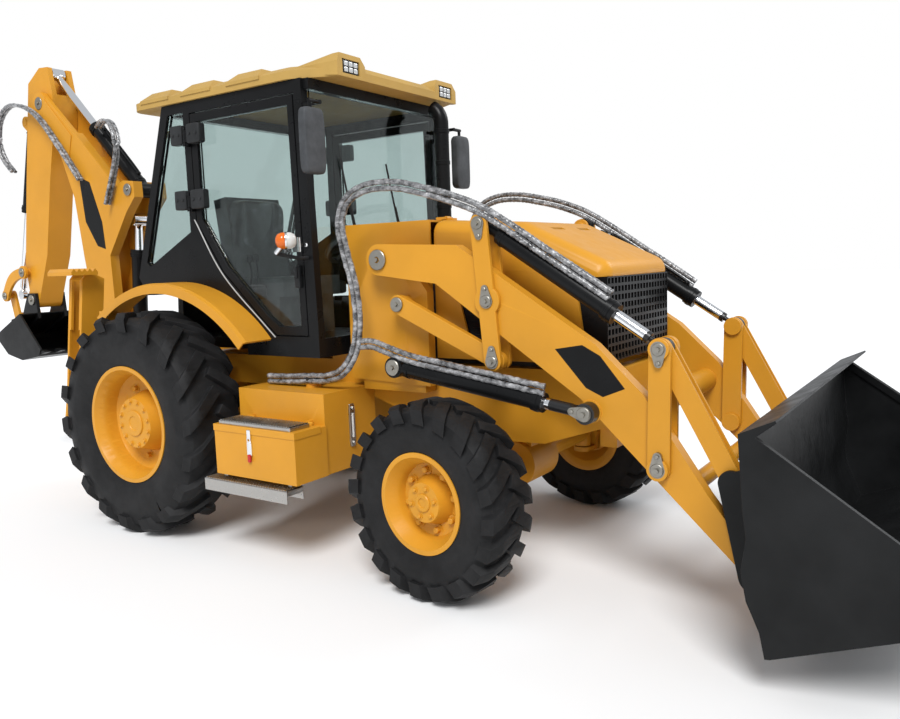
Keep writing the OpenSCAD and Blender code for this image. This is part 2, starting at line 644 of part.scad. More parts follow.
// the bucket turns on one shaft, stepped down to a pin through each arm
module bucket_pins() color(yellow) placed() {
  both() ypin(B_piv, 30, lever_in - 40, lever_out + 12);
  ypin(B_piv, shaft_r, -lever_in + 8, lever_in - 8);
}
heel = P_arm + [2148, -1514];
module in_bucket() translate(heel) rotate(bucket_roll) children();
module bucket_out2d() in_bucket() polygon([[0, 0], [20, -4], [788, 0], [788, 14], [269, 785], [357, 812], [357, 822],
  [214, 815], [128, 549], [100, 440], [36, 330], [14, 220], [18, 98]]);
module bucket_in2d() in_bucket() polygon([[40, 22], [800, 22], [800, 900], [357, 810], [226, 800], [148, 545],
  [122, 440], [58, 322], [36, 220], [40, 105]]);
module loader_bucket() color(black) placed() {
  difference() {
    side(-bucket_half, 2 * bucket_half) bucket_out2d();
    side(-bucket_half + 22, 2 * bucket_half - 44) bucket_in2d();
  }
  both() side(bucket_half - 34, 14) in_bucket() polygon([[780, 20], [269, 780], [236, 758], [735, 20]]);
  both() for (y = [lever_in, lever_out - lever_t]) side(y, lever_t) difference() {
    union() {
      link2d(B_piv, B_link, 66, 56);
      polygon([B_piv + [0, -60], heel + [40, 30], heel + [-60, 480], heel + [-40, 620], B_link + [0, 50]]);
    }
    hole2d(B_piv, 30 + pin_gap);
    in_bucket() polygon([[30, 10], [800, 10], [800, 900], [220, 820], [138, 547], [112, 440], [48, 326], [26, 220]]);
  }
}
module lift_barrels() color(black) placed() both()
  barrel(C_rear, C_front, lift_y, 42, 900, 66, 56, 30 + pin_gap, 60, 29);
module lift_rods() color(chrome) placed() both() rod(C_rear, C_front, lift_y, 29, 250, 62, 50);

// backhoe

module kingpost() color(yellow) placed() {
  difference() {
    union() {
      translate([swing_x, 0, 535]) cylinder(r = 105, h = 410);
      both() side(boom_half + side_gap, 30) polygon([[swing_x + 20, 560], [swing_x + 20, 930],
        [swing_x - 118, 935], [swing_x - 118, 1030], K_base + [70, 30],
        K_base + [30, 70], K_base + [-40, 70], S_foot + [-60, 90], S_foot + [-95, 0], S_foot + [-60, -80],
        [swing_x - 120, 560]]);
      translate([swing_x - 100, -boom_half - 33, 560]) cube([110, 2 * boom_half + 66, 370]);
    }
    translate([swing_x, 0, 400]) cylinder(r = 40, h = 700);
  }
  translate([swing_x, 0, 460]) cylinder(r = 55, h = 560);
  ypin(S_foot, 45, -boom_half - 45, boom_half + 45);
  ypin(K_base, 32, -boom_half - 45, boom_half + 45);
}
module boom2d() {
  polygon([S_foot + [75, -20], S_foot + [90, 300], [-1430, 1500], [-1440, 1800], [-1180, 2130], S_base + [75, -60],
    S_base + [70, 60], S_base + [-60, 75], [-1290, 2330], [-1800, 2815], S_tip + [75, 60],
    S_tip + [-60, 90], S_tip + [-60, -60],
    [-2015, 2640], [-1870, 2290], [-1800, 1790], [-1690, 1200], S_foot + [-75, -20]]);
  hole2d(S_foot, 80);
  hole2d(S_tip, 95);
}
module boom() color(yellow) placed() {
  boom_box();
  both() side(boom_half - 1, 9) difference() {
    union() {
      polygon([[-1830, 2790], S_tip + [60, 42], S_tip + [-46, 70], S_tip + [-46, -46], [-2030, 2690], [-1905, 2560]]);
      hole2d(S_tip, 92);
    }
    hole2d(S_tip, 40 + pin_gap);
  }
  ypin(S_base, 32, -boom_half - 6, boom_half + 6);
}
module boom_box() difference() {
  side(-boom_half, 2 * boom_half) difference() {
    boom2d();
    hole2d(S_foot, 45 + pin_gap);
    hole2d(S_tip, 40 + pin_gap);
    hole2d(S_base, 32);
  }
  // fork for the stick
  side(-stick_half - 4, 2 * stick_half + 8) translate(S_tip) circle(400);
  side(-stick_half - 4, 2 * stick_half + 8) polygon([[-2700, 3300], [-2120, 2500], [-1700, 2500], [-1950, 3300]]);
  // slot for the cylinder eyes
  side(-70, 140) polygon([[-1000, 900], [-1000, 2600], [-1345, 2600], [-1345, 2330], [-1500, 2250], [-1500, 1700],
    [-1600, 1500], [-1600, 1000]]);
  side(-70, 140) polygon([[-1344, 2230], [-1344, 2700], [-1900, 3200], [-1900, 2790]]);
}
module boom_barrel() color(black) placed() barrel(K_base, M_boom, 0, 58, 720, 130, 60, 32 + pin_gap, 60, 34);
module boom_rod() color(chrome) placed() rod(K_base, M_boom, 0, 34, 300, 120, 52);
module stick_barrel() color(black) placed() barrel(S_base, S_rod, 0, 55, 800, 120, 58, 32 + pin_gap, 60, 32);
module stick_rod() color(chrome) placed() rod(S_base, S_rod, 0, 32, 600, 110, 50);
module stick2d() {
  polygon([S_rod + [55, 40], S_rod + [-70, 50], [-2480, 3300], [-2650, 2500], [-2800, 1730], P_hoe + [-70, 15],
    P_hoe + [68, -10], [-2430, 1830], [-2280, 2460], [-2140, 2950], [-2130, 3180]]);
  hole2d(P_hoe, 70);
}
module stick() color(yellow) placed() {
  difference() {
    side(-stick_half, 2 * stick_half) difference() {
      stick2d();
    }
    side(-66, 132) translate(S_rod) circle(205);
  }
  ypin(S_tip, 40, -boom_half - 8, boom_half + 8);
  for (y = [-76, 52]) side(y, 24) link2d(N_cyl, N_cyl + [70, -30], 50, 70);
  ypin(N_cyl, 28, -80, 80);
  ypin(G_pin, 32, -stick_half - 66, stick_half + 66);
  ypin(P_hoe, 36, -stick_half - 36, stick_half + 36);
}
module hoe_bucket() color(black) placed() {
  difference() {
    side(-hoe_half, 2 * hoe_half) polygon([P_hoe + [60, -112], P_hoe + [350, -420], P_hoe + [310, -480],
      P_hoe + [40, -525], P_hoe + [-190, -480], P_hoe + [-320, -370], Q_hoe + [-20, -80]]);
    side(-hoe_half + 18, 2 * hoe_half - 36) polygon([P_hoe + [90, -100], P_hoe + [380, -430], P_hoe + [320, -460],
      P_hoe + [40, -503], P_hoe + [-180, -462], P_hoe + [-300, -365], Q_hoe + [10, -100], P_hoe + [50, -134]]);
  }
  both() side(stick_half + 4, 28) difference() {
    polygon([P_hoe + [60, 60], P_hoe + [80, -160], P_hoe + [-280, -330], Q_hoe + [-60, -70], Q_hoe + [-60, 40],
      P_hoe + [-285, -160], P_hoe + [-195, -165], P_hoe + [-120, -30], P_hoe + [-60, 60]]);
    hole2d(P_hoe, 36 + pin_gap);
  }
  for (y = [-1, -0.5, 0, 0.5, 1]) side(y * (hoe_half - 35) - 25, 50)
    polygon([P_hoe + [300, -470], P_hoe + [420, -440],
    P_hoe + [330, -425]]);
}
module guide_links() color(yellow) placed() both() {
  side(stick_half + 36, 26) difference() {
    bent2d(G_pin, H_pin, 58, 52, 96, -55);
    hole2d(G_pin, 32 + pin_gap);
  }
  ypin(H_pin, 26, stick_half - 28, stick_half + 66);
}
module push_link() color(yellow) placed() {
  both() side(stick_half - 28, 24) difference() {
    link2d(H_pin, Q_hoe, 46, 46);
    hole2d(H_pin, 26 + pin_gap);
  }
  ypin(H_pin * 0.3 + Q_hoe * 0.7, 24, -stick_half + 10, stick_half - 10);
  ypin(Q_hoe, 26, -stick_half, stick_half);
}
module hoe_barrel() color(black) placed() barrel(N_cyl, H_pin, 0, 48, 800, 80, 52, 28 + pin_gap, 60, 28);
module hoe_rod() color(chrome) placed() rod(N_cyl, H_pin, 0, 28, 700, 40, 44);

// stabilisers

module xpin(p, r, x0, x1) translate([x0, p[0], p[1]]) rotate([0, 90, 0]) cylinder(r = r, h = x1 - x0);
module leg(s) color(yellow) placed() mirror([0, s < 0 ? 1 : 0, 0]) {
  for (x = [stab_x - 82, stab_x + 62]) translate([x, 0, 0]) rotate([90, 0, 90]) linear_extrude(20)
    polygon([O_leg + [-75, -40], O_leg + [-20, -80], O_leg + [60, -50], O_leg + [80, 40], B_leg + [110, 60],
      B_leg + [60, 120], B_leg + [-60, 60]]);
  for (x = [stab_x - 82, stab_x + 48]) translate([x, 0, 0]) rotate([90, 0, 90]) linear_extrude(34)
    polygon([O_leg + [-3, 560], O_leg + [17, 564],
    B_leg + [110, 60], B_leg + [90, 60]]);
  for (x = [stab_x - 120, stab_x + 62]) xpin(O_leg, 30, x, x + 58);
  // toothed pad
  difference() {
    union() {
      translate([stab_x - 150, B_leg[0] + 30, B_leg[1] + 90]) cube([300, 200, 25]);
      translate([stab_x - 150, B_leg[0] + 30, B_leg[1] + 113]) rotate([90, 0, 90]) linear_extrude(300)
        for (i = [0 : 4]) polygon([[40 * i, 0], [40 * i + 20, 24], [40 * i + 40, 0]]);
    }
    // room for the rod's eye
    translate([stab_x - 48, B_leg[0] + 20, B_leg[1] + 80]) cube([96, 135, 70]);
  }
}
module stabiliser_right() leg(-1);
module stabiliser_left() leg(1);
module stab_barrel(s) color(black) placed() mirror([0, s < 0 ? 1 : 0, 0])
  translate([stab_x, 0, 0]) rotate([0, 0, 90]) mirror([0, 1, 0]) barrel(U_leg, B_leg, 0, 42, 560, 90, 46, 26, 50, 25);
module stab_rod(s) color(chrome) placed() mirror([0, s < 0 ? 1 : 0, 0])
  translate([stab_x, 0, 0]) rotate([0, 0, 90])
  mirror([0, 1, 0]) rod(U_leg, B_leg, 0, 25, 300, 80, 40);
module stab_barrel_right() stab_barrel(-1);
module stab_barrel_left() stab_barrel(1);
module stab_rod_right() stab_rod(-1);
module stab_rod_left() stab_rod(1);

chassis_frame();
rear_frame();
engine();
axles();
cab_frame();
cab_roof();
cab_glass();
cab_interior();
fenders();
side_boxes();
steps();
lamps();
hood();
grille();
door_right();
door_right_glass();
door_left();
door_left_glass();
tool_box_lid();
knuckle_right();
knuckle_left();
tyre_front_right();
tyre_front_left();
tyre_rear_right();
tyre_rear_left();
rim_front_right();
rim_front_left();
rim_rear_right();
rim_rear_left();
loader_arms();
lower_links();
mid_levers();
tilt_barrels();
tilt_rods();
lever_pins();
front_levers();
link_pins();
bucket_links();
bucket_pins();
loader_bucket();
lift_barrels();
lift_rods();
kingpost();
boom();
boom_barrel();
boom_rod();
stick();
stick_barrel();
stick_rod();
hoe_bucket();
guide_links();
push_link();
hoe_barrel();
hoe_rod();
stabiliser_right();
stabiliser_left();
stab_barrel_right();
stab_barrel_left();
stab_rod_right();
stab_rod_left();
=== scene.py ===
# Backhoe loader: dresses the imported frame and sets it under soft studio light.
import json
import math

import bmesh
import bpy
import numpy as np
from mathutils import Matrix, Vector


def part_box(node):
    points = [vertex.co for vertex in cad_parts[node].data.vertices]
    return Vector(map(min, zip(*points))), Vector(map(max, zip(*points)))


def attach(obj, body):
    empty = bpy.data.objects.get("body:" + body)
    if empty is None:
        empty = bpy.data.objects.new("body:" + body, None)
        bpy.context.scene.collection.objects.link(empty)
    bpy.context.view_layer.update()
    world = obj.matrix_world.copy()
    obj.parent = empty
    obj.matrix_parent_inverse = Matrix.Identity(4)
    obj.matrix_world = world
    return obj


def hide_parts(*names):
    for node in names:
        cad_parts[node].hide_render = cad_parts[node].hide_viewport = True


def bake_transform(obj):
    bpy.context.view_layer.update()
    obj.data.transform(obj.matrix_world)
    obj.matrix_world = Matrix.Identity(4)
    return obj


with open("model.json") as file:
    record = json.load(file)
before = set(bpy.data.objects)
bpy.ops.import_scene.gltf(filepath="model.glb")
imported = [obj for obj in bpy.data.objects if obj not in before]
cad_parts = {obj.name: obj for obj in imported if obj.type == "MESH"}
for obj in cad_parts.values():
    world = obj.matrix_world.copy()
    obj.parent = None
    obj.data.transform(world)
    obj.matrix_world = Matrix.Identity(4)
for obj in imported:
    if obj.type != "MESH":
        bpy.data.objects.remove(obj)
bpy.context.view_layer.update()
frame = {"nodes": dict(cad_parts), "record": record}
nodes = frame["nodes"]
bodyOf = {n: b for b, members in frame["record"]["behaviour"]["bodies"].items() for n in members}
print("frame loaded:", len(nodes), "nodes")

# the rear axle's middle, from which the machine is set out
axleX = sum(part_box("tyre_rear_right")[k][0] for k in (0, 1)) / 2

# every pin's place from that middle, as x and z in metres
pivots = {
    "arm": (1.720, 1.680),
    "link": (1.826, 1.436),
    "leverMid": (2.418, 1.456),
    "leverTop": (2.380, 1.840),
    "leverFoot": (2.442, 1.153),
    "liftRear": (1.850, 1.103),
    "liftFront": (2.960, 0.935),
    "frontFoot": (3.295, 0.700),
    "frontTop": (3.302, 1.244),
    "bucket": (3.712, 0.270),
    "bucketLink": (3.6135, 0.6747),
    "boomFoot": (-1.330, 1.120),
    "boomEye": (-1.250, 2.080),
    "stickBase": (-1.137, 2.300),
    "stickEye": (-2.225, 3.353),
    "stickTip": (-2.260, 3.100),
    "hoeFoot": (-2.640, 3.000),
    "hoeGuide": (-2.757, 1.690),
    "hoePin": (-2.690, 1.440),
    "hoeLink": (-3.086, 1.481),
}


# Materials: every finish reads Object coordinates


# a material, its nodes and its shader, with the shader's sockets set by name
def newFinish(name, **sockets):
    finish = bpy.data.materials.new(name)
    finish.use_nodes = True
    shader = finish.node_tree.nodes["Principled BSDF"]
    for socket, value in sockets.items():
        shader.inputs[socket.replace("_", " ")].default_value = value
    return finish, finish.node_tree, shader


# cloudy noise over the piece, drawn out along an axis where stretch is small
def addNoise(tree, scale, detail=2.0, roughness=0.5, stretch=None):
    noise = tree.nodes.new("ShaderNodeTexNoise")
    noise.inputs["Scale"].default_value = scale
    noise.inputs["Detail"].default_value = detail
    noise.inputs["Roughness"].default_value = roughness
    place = tree.nodes.get("place") or tree.nodes.new("ShaderNodeTexCoord")
    place.name = "place"
    source = place.outputs["Object"]
    if stretch:
        mapping = tree.nodes.new("ShaderNodeMapping")
        mapping.inputs["Scale"].default_value = stretch
        tree.links.new(source, mapping.inputs["Vector"])
        source = mapping.outputs["Vector"]
    tree.links.new(source, noise.inputs["Vector"])
    return noise.outputs["Fac"]


# a value turned into colour by stops of (position, colour)
def addRamp(tree, source, stops):
    ramp = tree.nodes.new("ShaderNodeValToRGB")
    band = ramp.color_ramp
    while len(band.elements) < len(stops):
        band.elements.new(0.5)
    for element, (position, colour) in zip(band.elements, stops):
        element.position = position
        element.color = (*colour, 1) if len(colour) == 3 else colour
    tree.links.new(source, ramp.inputs["Fac"])
    return ramp.outputs["Color"]


# height from a value, as a change of the surface's normal
def addBump(tree, shader, source, strength, distance):
    bump = tree.nodes.new("ShaderNodeBump")
    bump.inputs["Strength"].default_value = strength
    bump.inputs["Distance"].default_value = distance
    tree.links.new(source, bump.inputs["Height"])
    tree.links.new(bump.outputs["Normal"], shader.inputs["Normal"])


# a darker and a paler tone of one colour
def shades(colour, low, high):
    return [tuple(c * low for c in colour), tuple(min(c * high, 1) for c in colour)]


# sprayed paint: broad tone drift, a fine orange peel and uneven gloss
def sprayedPaint(name, colour, gloss, peel=0.10, drift=(0.93, 1.05), shine=0.25):
    finish, tree, shader = newFinish(name, Roughness=gloss, Specular_IOR_Level=shine)
    low, high = shades(colour, *drift)
    tone = addRamp(tree, addNoise(tree, 2.3, 4.0, 0.6), [(0.3, low), (0.7, high)])
    tree.links.new(tone, shader.inputs["Base Color"])
    haze = [(0.3, (gloss * 0.8,) * 3), (0.75, (gloss * 1.3,) * 3)]
    tree.links.new(addRamp(tree, addNoise(tree, 9.0, 5.0, 0.65), haze), shader.inputs["Roughness"])
    addBump(tree, shader, addNoise(tree, 210.0, 2.0), peel, 0.0012)
    return finish


# moulded rubber or plastic: grain in the bump, paler bloom in patches
def mouldedGrain(name, colour, gloss, grain, depth, bloom=1.6):
    finish, tree, shader = newFinish(name, Roughness=gloss, Specular_IOR_Level=0.2)
    low, high = shades(colour, 0.8, bloom)
    tone = addRamp(tree, addNoise(tree, 7.0, 6.0, 0.7), [(0.35, low), (0.72, high)])
    tree.links.new(tone, shader.inputs["Base Color"])
    addBump(tree, shader, addNoise(tree, grain, 4.0, 0.65), 0.35, depth)
    return finish


# bare or plated metal: streaks along one axis change the gloss
def platedMetal(name, colour, gloss, streak):
    finish, tree, shader = newFinish(name, Metallic=1.0, Base_Color=(*colour, 1))
    run = addNoise(tree, 60.0, 3.0, 0.6, streak)
    streaks = [(0.3, (gloss * 0.7,) * 3), (0.7, (gloss * 1.4,) * 3)]
    tree.links.new(addRamp(tree, run, streaks), shader.inputs["Roughness"])
    return finish


# a plated rod whose eye is painted: black within a reach of the pin's axis, which runs along Y
def eyedRod(name, pin, reach):
    finish, tree, shader = newFinish(name)
    place = tree.nodes.new("ShaderNodeTexCoord")
    flat, away = (tree.nodes.new("ShaderNodeVectorMath") for i in (0, 1))
    flat.operation, away.operation = "MULTIPLY", "DISTANCE"
    flat.inputs[1].default_value = (1, 0, 1)
    away.inputs[1].default_value = (pin[0] + axleX, 0, pin[1])
    plated = tree.nodes.new("ShaderNodeMath")
    plated.operation = "GREATER_THAN"
    plated.inputs[1].default_value = reach
    tree.links.new(place.outputs["Object"], flat.inputs[0])
    tree.links.new(flat.outputs["Vector"], away.inputs[0])
    tree.links.new(away.outputs["Value"], plated.inputs[0])
    tones = [(0.0, (0.008, 0.008, 0.009)), (1.0, (0.82, 0.83, 0.85))]
    tree.links.new(addRamp(tree, plated.outputs[0], tones), shader.inputs["Base Color"])
    tree.links.new(plated.outputs[0], shader.inputs["Metallic"])
    glosses = [(0.0, (0.35,) * 3), (1.0, (0.10,) * 3)]
    tree.links.new(addRamp(tree, plated.outputs[0], glosses), shader.inputs["Roughness"])
    return finish


# tinted sheet glass with a faint film of dust
def tintedSheet(name, colour):
    finish, tree, shader = newFinish(name, Roughness=0.0, IOR=1.35, Transmission_Weight=1.0)
    dusty = tuple(0.9 * c + 0.06 for c in colour)
    film = addRamp(tree, addNoise(tree, 3.0, 5.0, 0.6), [(0.3, colour), (0.8, dusty)])
    tree.links.new(film, shader.inputs["Base Color"])
    return finish


# coloured plastic that lets some of the light through
def mouldedLens(name, colour, gloss, clear):
    return newFinish(name, Base_Color=(*colour, 1), Roughness=gloss, Transmission_Weight=clear, IOR=1.49)[0]


finishes = {
    "yellow_paint": sprayedPaint("yellowPaint", (0.60, 0.272, 0.020), 0.36, shine=0.28),
    "black_paint": sprayedPaint("blackPaint", (0.006, 0.0062, 0.0066), 0.30, 0.06, (0.8, 1.5), 0.14),
    "cast_grey": mouldedGrain("castGrey", (0.10, 0.10, 0.105), 0.6, 160.0, 0.001),
    "chrome_rod": platedMetal("chromeRod", (0.82, 0.83, 0.85), 0.10, (0.05, 1.0, 1.0)),
    "dark_plastic": mouldedGrain("darkPlastic", (0.018, 0.019, 0.02), 0.5, 420.0, 0.0006),
    "grey_steel": platedMetal("zincSteel", (0.46, 0.45, 0.43), 0.34, (1.0, 0.2, 1.0)),
    "lamp_lens": tintedSheet("lampLens", (0.93, 0.94, 0.95)),
    "rubber": mouldedGrain("tyreRubber", (0.010, 0.010, 0.0105), 0.62, 130.0, 0.0012, 1.8),
    "tinted_glass": tintedSheet("tintedGlass", (0.60, 0.69, 0.68)),
}
bucketPaint = sprayedPaint("bucketPaint", (0.007, 0.0073, 0.0076), 0.36, 0.15, (0.7, 1.9), 0.16)
roofShell = sprayedPaint("roofShell", (0.43, 0.27, 0.075), 0.62, 0.25, (0.9, 1.12), 0.2)
zincPlate = platedMetal("zincPlate", (0.33, 0.315, 0.28), 0.42, (1.0, 0.2, 1.0))
greyPlastic = mouldedGrain("mirrorPlastic", (0.05, 0.053, 0.057), 0.55, 300.0, 0.0008)

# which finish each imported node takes
finishOf = {n: "yellow_paint" for n in nodes}
for slotName, words in {
    "black_paint": ("barrel", "cab_frame", "door_", "grille", "hoe_bucket", "loader_bucket"),
    "tinted_glass": ("glass",),
    "chrome_rod": ("_rod",),
    "rubber": ("tyre",),
    "grey_steel": ("steps",),
    "cast_grey": ("engine", "cab_interior"),
    "lamp_lens": ("lamps",),
}.items():
    finishOf.update({n: slotName for n in nodes if any(w in n for w in words)})
print("finishes made:", len(finishes))


# Pieces on top of the frame


# links an object, puts it on its body and hides the nodes it replaces
def placePiece(obj, body, slotName, *replaced):
    bpy.context.scene.collection.objects.link(obj)
    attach(obj, body)
    if replaced:
        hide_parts(*replaced)
    return obj


# a node's own solid with its edges broken: doubles merged, flats joined, then a small bevel
def brokenEdges(node, width, finish=None):
    mesh = nodes[node].data.copy()
    mesh.name = node + "_finish"
    work = bmesh.new()
    work.from_mesh(mesh)
    bmesh.ops.remove_doubles(work, verts=work.verts, dist=2e-5)
    bmesh.ops.dissolve_limit(work, angle_limit=math.radians(0.6), verts=work.verts, edges=work.edges)
    work.to_mesh(mesh)
    work.free()
    mesh.polygons.foreach_set("use_smooth", np.ones(len(mesh.polygons), bool))
    mesh.set_sharp_from_angle(angle=math.radians(32))
    mesh.materials.clear()
    mesh.materials.append(finish or finishes[finishOf[node]])
    obj = bpy.data.objects.new(node + "_finish", mesh)
    placePiece(obj, bodyOf[node], finishOf[node], node)
    if width:
        edge = obj.modifiers.new("edge", "BEVEL")
        edge.width = width
        edge.segments = 2
        edge.limit_method = "ANGLE"
        edge.angle_limit = math.radians(35)
        edge.use_clamp_overlap = True
        edge.harden_normals = True
    return obj


ownFinish = {
    "loader_bucket": bucketPaint,
    "hoe_bucket": bucketPaint,
    "cab_roof": roofShell,
    "tilt_rods": eyedRod("tiltRod", pivots["frontTop"], 0.100),
    "lift_rods": eyedRod("liftRod", pivots["liftFront"], 0.190),
}
edgeBreak = {
    "default": 0.004,
    "glass": 0.0,
    "_rod": 0.0,
    "_pins": 0.002,
    "barrel": 0.003,
    "tyre": 0.006,
    "loader_bucket": 0.003,
    "side_boxes": 0.012,
}
for node in nodes:
    width = next((w for word, w in edgeBreak.items() if word in node), edgeBreak["default"])
    brokenEdges(node, width, ownFinish.get(node))
print("edges broken on", len(nodes), "nodes")


# Shapes worked out as whole arrays


# quads between neighbouring rows and columns of a grid of points, wrapped where it closes
def gridQuads(rows, cols, wrapRows=False, wrapCols=False):
    i, j = np.meshgrid(np.arange(rows - (not wrapRows)), np.arange(cols - (not wrapCols)), indexing="ij")
    k, m = (i + 1) % rows, (j + 1) % cols
    return np.stack([i * cols + j, k * cols + j, k * cols + m, i * cols + m], -1).reshape(-1, 4)


# several (points, faces) shapes as one, each one's faces counted on from the last
def joinShapes(shapes):
    counts = np.cumsum([0] + [len(p) for p, f in shapes])
    points = np.concatenate([p for p, f in shapes])
    faces = [[v + n for v in face] for (p, f), n in zip(shapes, counts) for face in f]
    return points, faces


# an object from points and faces, normals turned outwards
# given an angle, its doubles are merged and edges sharper than that stay sharp
def objectFrom(name, shape, finish, smooth=None):
    points, faces = shape
    mesh = bpy.data.meshes.new(name)
    mesh.from_pydata(np.asarray(points).tolist(), [], [list(map(int, f)) for f in faces])
    work = bmesh.new()
    work.from_mesh(mesh)
    if smooth:
        bmesh.ops.remove_doubles(work, verts=work.verts, dist=1e-6)
    bmesh.ops.recalc_face_normals(work, faces=work.faces)
    work.to_mesh(mesh)
    work.free()
    mesh.polygons.foreach_set("use_smooth", np.ones(len(mesh.polygons), bool))
    if smooth:
        mesh.set_sharp_from_angle(angle=math.radians(smooth))
    mesh.materials.append(finish)
    return bpy.data.objects.new(name, mesh)


# a piece that rides on one body
def makePiece(name, shape, finish, body, slotName, smooth=40.0, replaced=()):
    return placePiece(objectFrom(name, shape, finish, smooth), body, slotName, *replaced)


# points from the rear axle's middle, in metres, as points of the shared frame
def fromAxle(points):
    return np.asarray(points, float) + (axleX, 0.0, 0.0)


# smooth curve through given points: cubic between neighbours, slopes from the chords either side
def smoothPath(points, samples):
    points = np.asarray(points, float)
    knots = np.concatenate([[0], np.cumsum(np.linalg.norm(np.diff(points, axis=0), axis=1) ** 0.5)])
    slopes = np.gradient(points, knots, axis=0)
    t = np.linspace(0, knots[-1], samples)
    k = np.clip(np.searchsorted(knots, t) - 1, 0, len(points) - 2)
    h = (knots[k + 1] - knots[k])[:, None]
    s = (t - knots[k])[:, None] / h
    return (
        points[k] * (2 * s**3 - 3 * s**2 + 1)
        + slopes[k] * h * (s**3 - 2 * s**2 + s)
        + points[k + 1] * (3 * s**2 - 2 * s**3)
        + slopes[k + 1] * h * (s**3 - s**2)
    )


# directions along and square to a path; the second one leans on the reference
def pathFrame(path, reference):
    along = np.gradient(path, axis=0)
    along /= np.linalg.norm(along, axis=1, keepdims=True)
    side = np.cross(along, reference)
    side /= np.linalg.norm(side, axis=1, keepdims=True)
    return along, side, np.cross(side, along)


# a round section carried along a path, its radius given once or for every ring and side
def sweptTube(path, radius, sides=14, reference=(0.0, 1.0, 0.0)):
    path = np.asarray(path, float)
    along, side, rise = pathFrame(path, reference)
    turn = np.linspace(0, 2 * np.pi, sides, endpoint=False)
    radius = np.broadcast_to(radius, (len(path), sides))[..., None]
    ring = side[:, None] * np.cos(turn)[:, None] + rise[:, None] * np.sin(turn)[:, None]
    points = (path[:, None] + radius * ring).reshape(-1, 3)
    last = (len(path) - 1) * sides
    caps = [list(range(sides)), list(range(last, last + sides))]
    return points, gridQuads(len(path), sides, wrapCols=True).tolist() + caps


# an outline in two of the axes, spun round a line: radius and height pairs, sides round
def spunShape(profile, centre, axis, sides=32):
    profile = np.asarray(profile, float)
    axis = np.asarray(axis, float) / np.linalg.norm(axis)
    square = np.cross(axis, (0.0, 0.0, 1.0) if abs(axis[2]) < 0.9 else (1.0, 0.0, 0.0))
    square /= np.linalg.norm(square)
    other = np.cross(axis, square)
    turn = np.linspace(0, 2 * np.pi, sides, endpoint=False)[:, None]
    ring = np.cos(turn) * square + np.sin(turn) * other
    points = np.asarray(centre) + profile[None, :, :1] * ring[:, None] + profile[None, :, 1:] * axis
    return points.reshape(-1, 3), gridQuads(sides, len(profile), wrapRows=True).tolist()


# a block with rounded edges: every part of a unit sphere raised to a power below one, then stretched
def softBlock(centre, half, power=0.28, rows=24, cols=40):
    v = np.linspace(-np.pi / 2, np.pi / 2, rows)[:, None]
    u = np.linspace(0, 2 * np.pi, cols, endpoint=False)[None]
    bend = lambda a: np.sign(a) * np.abs(a) ** power
    across, deep = bend(np.cos(v)) * bend(np.cos(u)), bend(np.cos(v)) * bend(np.sin(u))
    unit = np.stack([across, deep, bend(np.sin(v)) + 0 * u], -1)
    return (np.asarray(centre) + unit * half).reshape(-1, 3), gridQuads(rows, cols, wrapCols=True).tolist()


# a bolt head's outline: straight up to its shoulder, then in to its top
def boltHead(shoulder, top):
    return [(0.011, 0.0), (0.011, shoulder), (0.008, top), (0.0, top)]


# Hydraulic hoses, wrapped in clear film over black rubber

hose = {
    "diameter": 0.030,
    "spread": 0.034,
    "wrapDepth": 0.0016,
    "wrapTurns": 190.0,
    "sides": 14,
}


# film over rubber: bright crinkles in bands over black
def wrappedHose(name):
    finish, tree, shader = newFinish(name, Roughness=0.22, Coat_Weight=0.6, Coat_Roughness=0.08)
    crease = addNoise(tree, 22.0, 6.0, 0.75, (1.0, 1.0, 1.6))
    tones = [(0.38, (0.03, 0.03, 0.032)), (0.52, (0.20, 0.20, 0.205)), (0.70, (0.55, 0.55, 0.56))]
    tree.links.new(addRamp(tree, crease, tones), shader.inputs["Base Color"])
    addBump(tree, shader, addNoise(tree, 55.0, 4.0, 0.7), 0.6, 0.004)
    return finish


hoseFilm = wrappedHose("hoseFilm")


# a pair of hoses: the path moved sideways each way, its radius swelling and pinching under the film
def hosePair(name, points, lean=(0.0, 1.0, 0.0)):
    middle = smoothPath(fromAxle(points), 160)
    along, side, rise = pathFrame(middle, lean)
    for index, shift in enumerate((-0.5, 0.5)):
        path = middle + side * shift * hose["spread"]
        step = np.linspace(0, 1, len(path))[:, None]
        turn = np.linspace(0, 2 * np.pi, hose["sides"], endpoint=False)[None]
        swell = np.sin(hose["wrapTurns"] * step + 2 * turn) * np.cos(31 * step + index) * hose["wrapDepth"]
        tube = sweptTube(path, hose["diameter"] / 2 + swell, hose["sides"], lean)
        obj = objectFrom(f"{name}_{'ab'[index]}", tube, hoseFilm)
        bpy.context.scene.collection.objects.link(obj)
        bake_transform(obj)


# right side: tank, tower, over the arm's pivot, past the lever and along the tilt cylinder
hosePair(
    "tank_hose_right",
    [(0.87, -0.68, 0.992), (1.03, -0.68, 0.996), (1.19, -0.68, 1.007), (1.36, -0.69, 1.02),
     (1.48, -0.70, 1.06), (1.575, -0.70, 1.17), (1.615, -0.70, 1.34), (1.60, -0.70, 1.54),
     (1.545, -0.70, 1.74), (1.52, -0.70, 1.89), (1.565, -0.69, 2.005), (1.68, -0.68, 2.062),
     (1.88, -0.67, 2.066), (2.10, -0.66, 2.014)],
)
hosePair(
    "lever_hose_right",
    [(2.10, -0.66, 2.014), (2.18, -0.66, 1.99), (2.26, -0.655, 1.963), (2.35, -0.65, 1.928),
     (2.44, -0.645, 1.883)],
)
hosePair(
    "barrel_hose_right",
    [(2.44, -0.645, 1.883), (2.58, -0.64, 1.795), (2.73, -0.635, 1.695), (2.90, -0.63, 1.585),
     (3.06, -0.62, 1.478)],
)
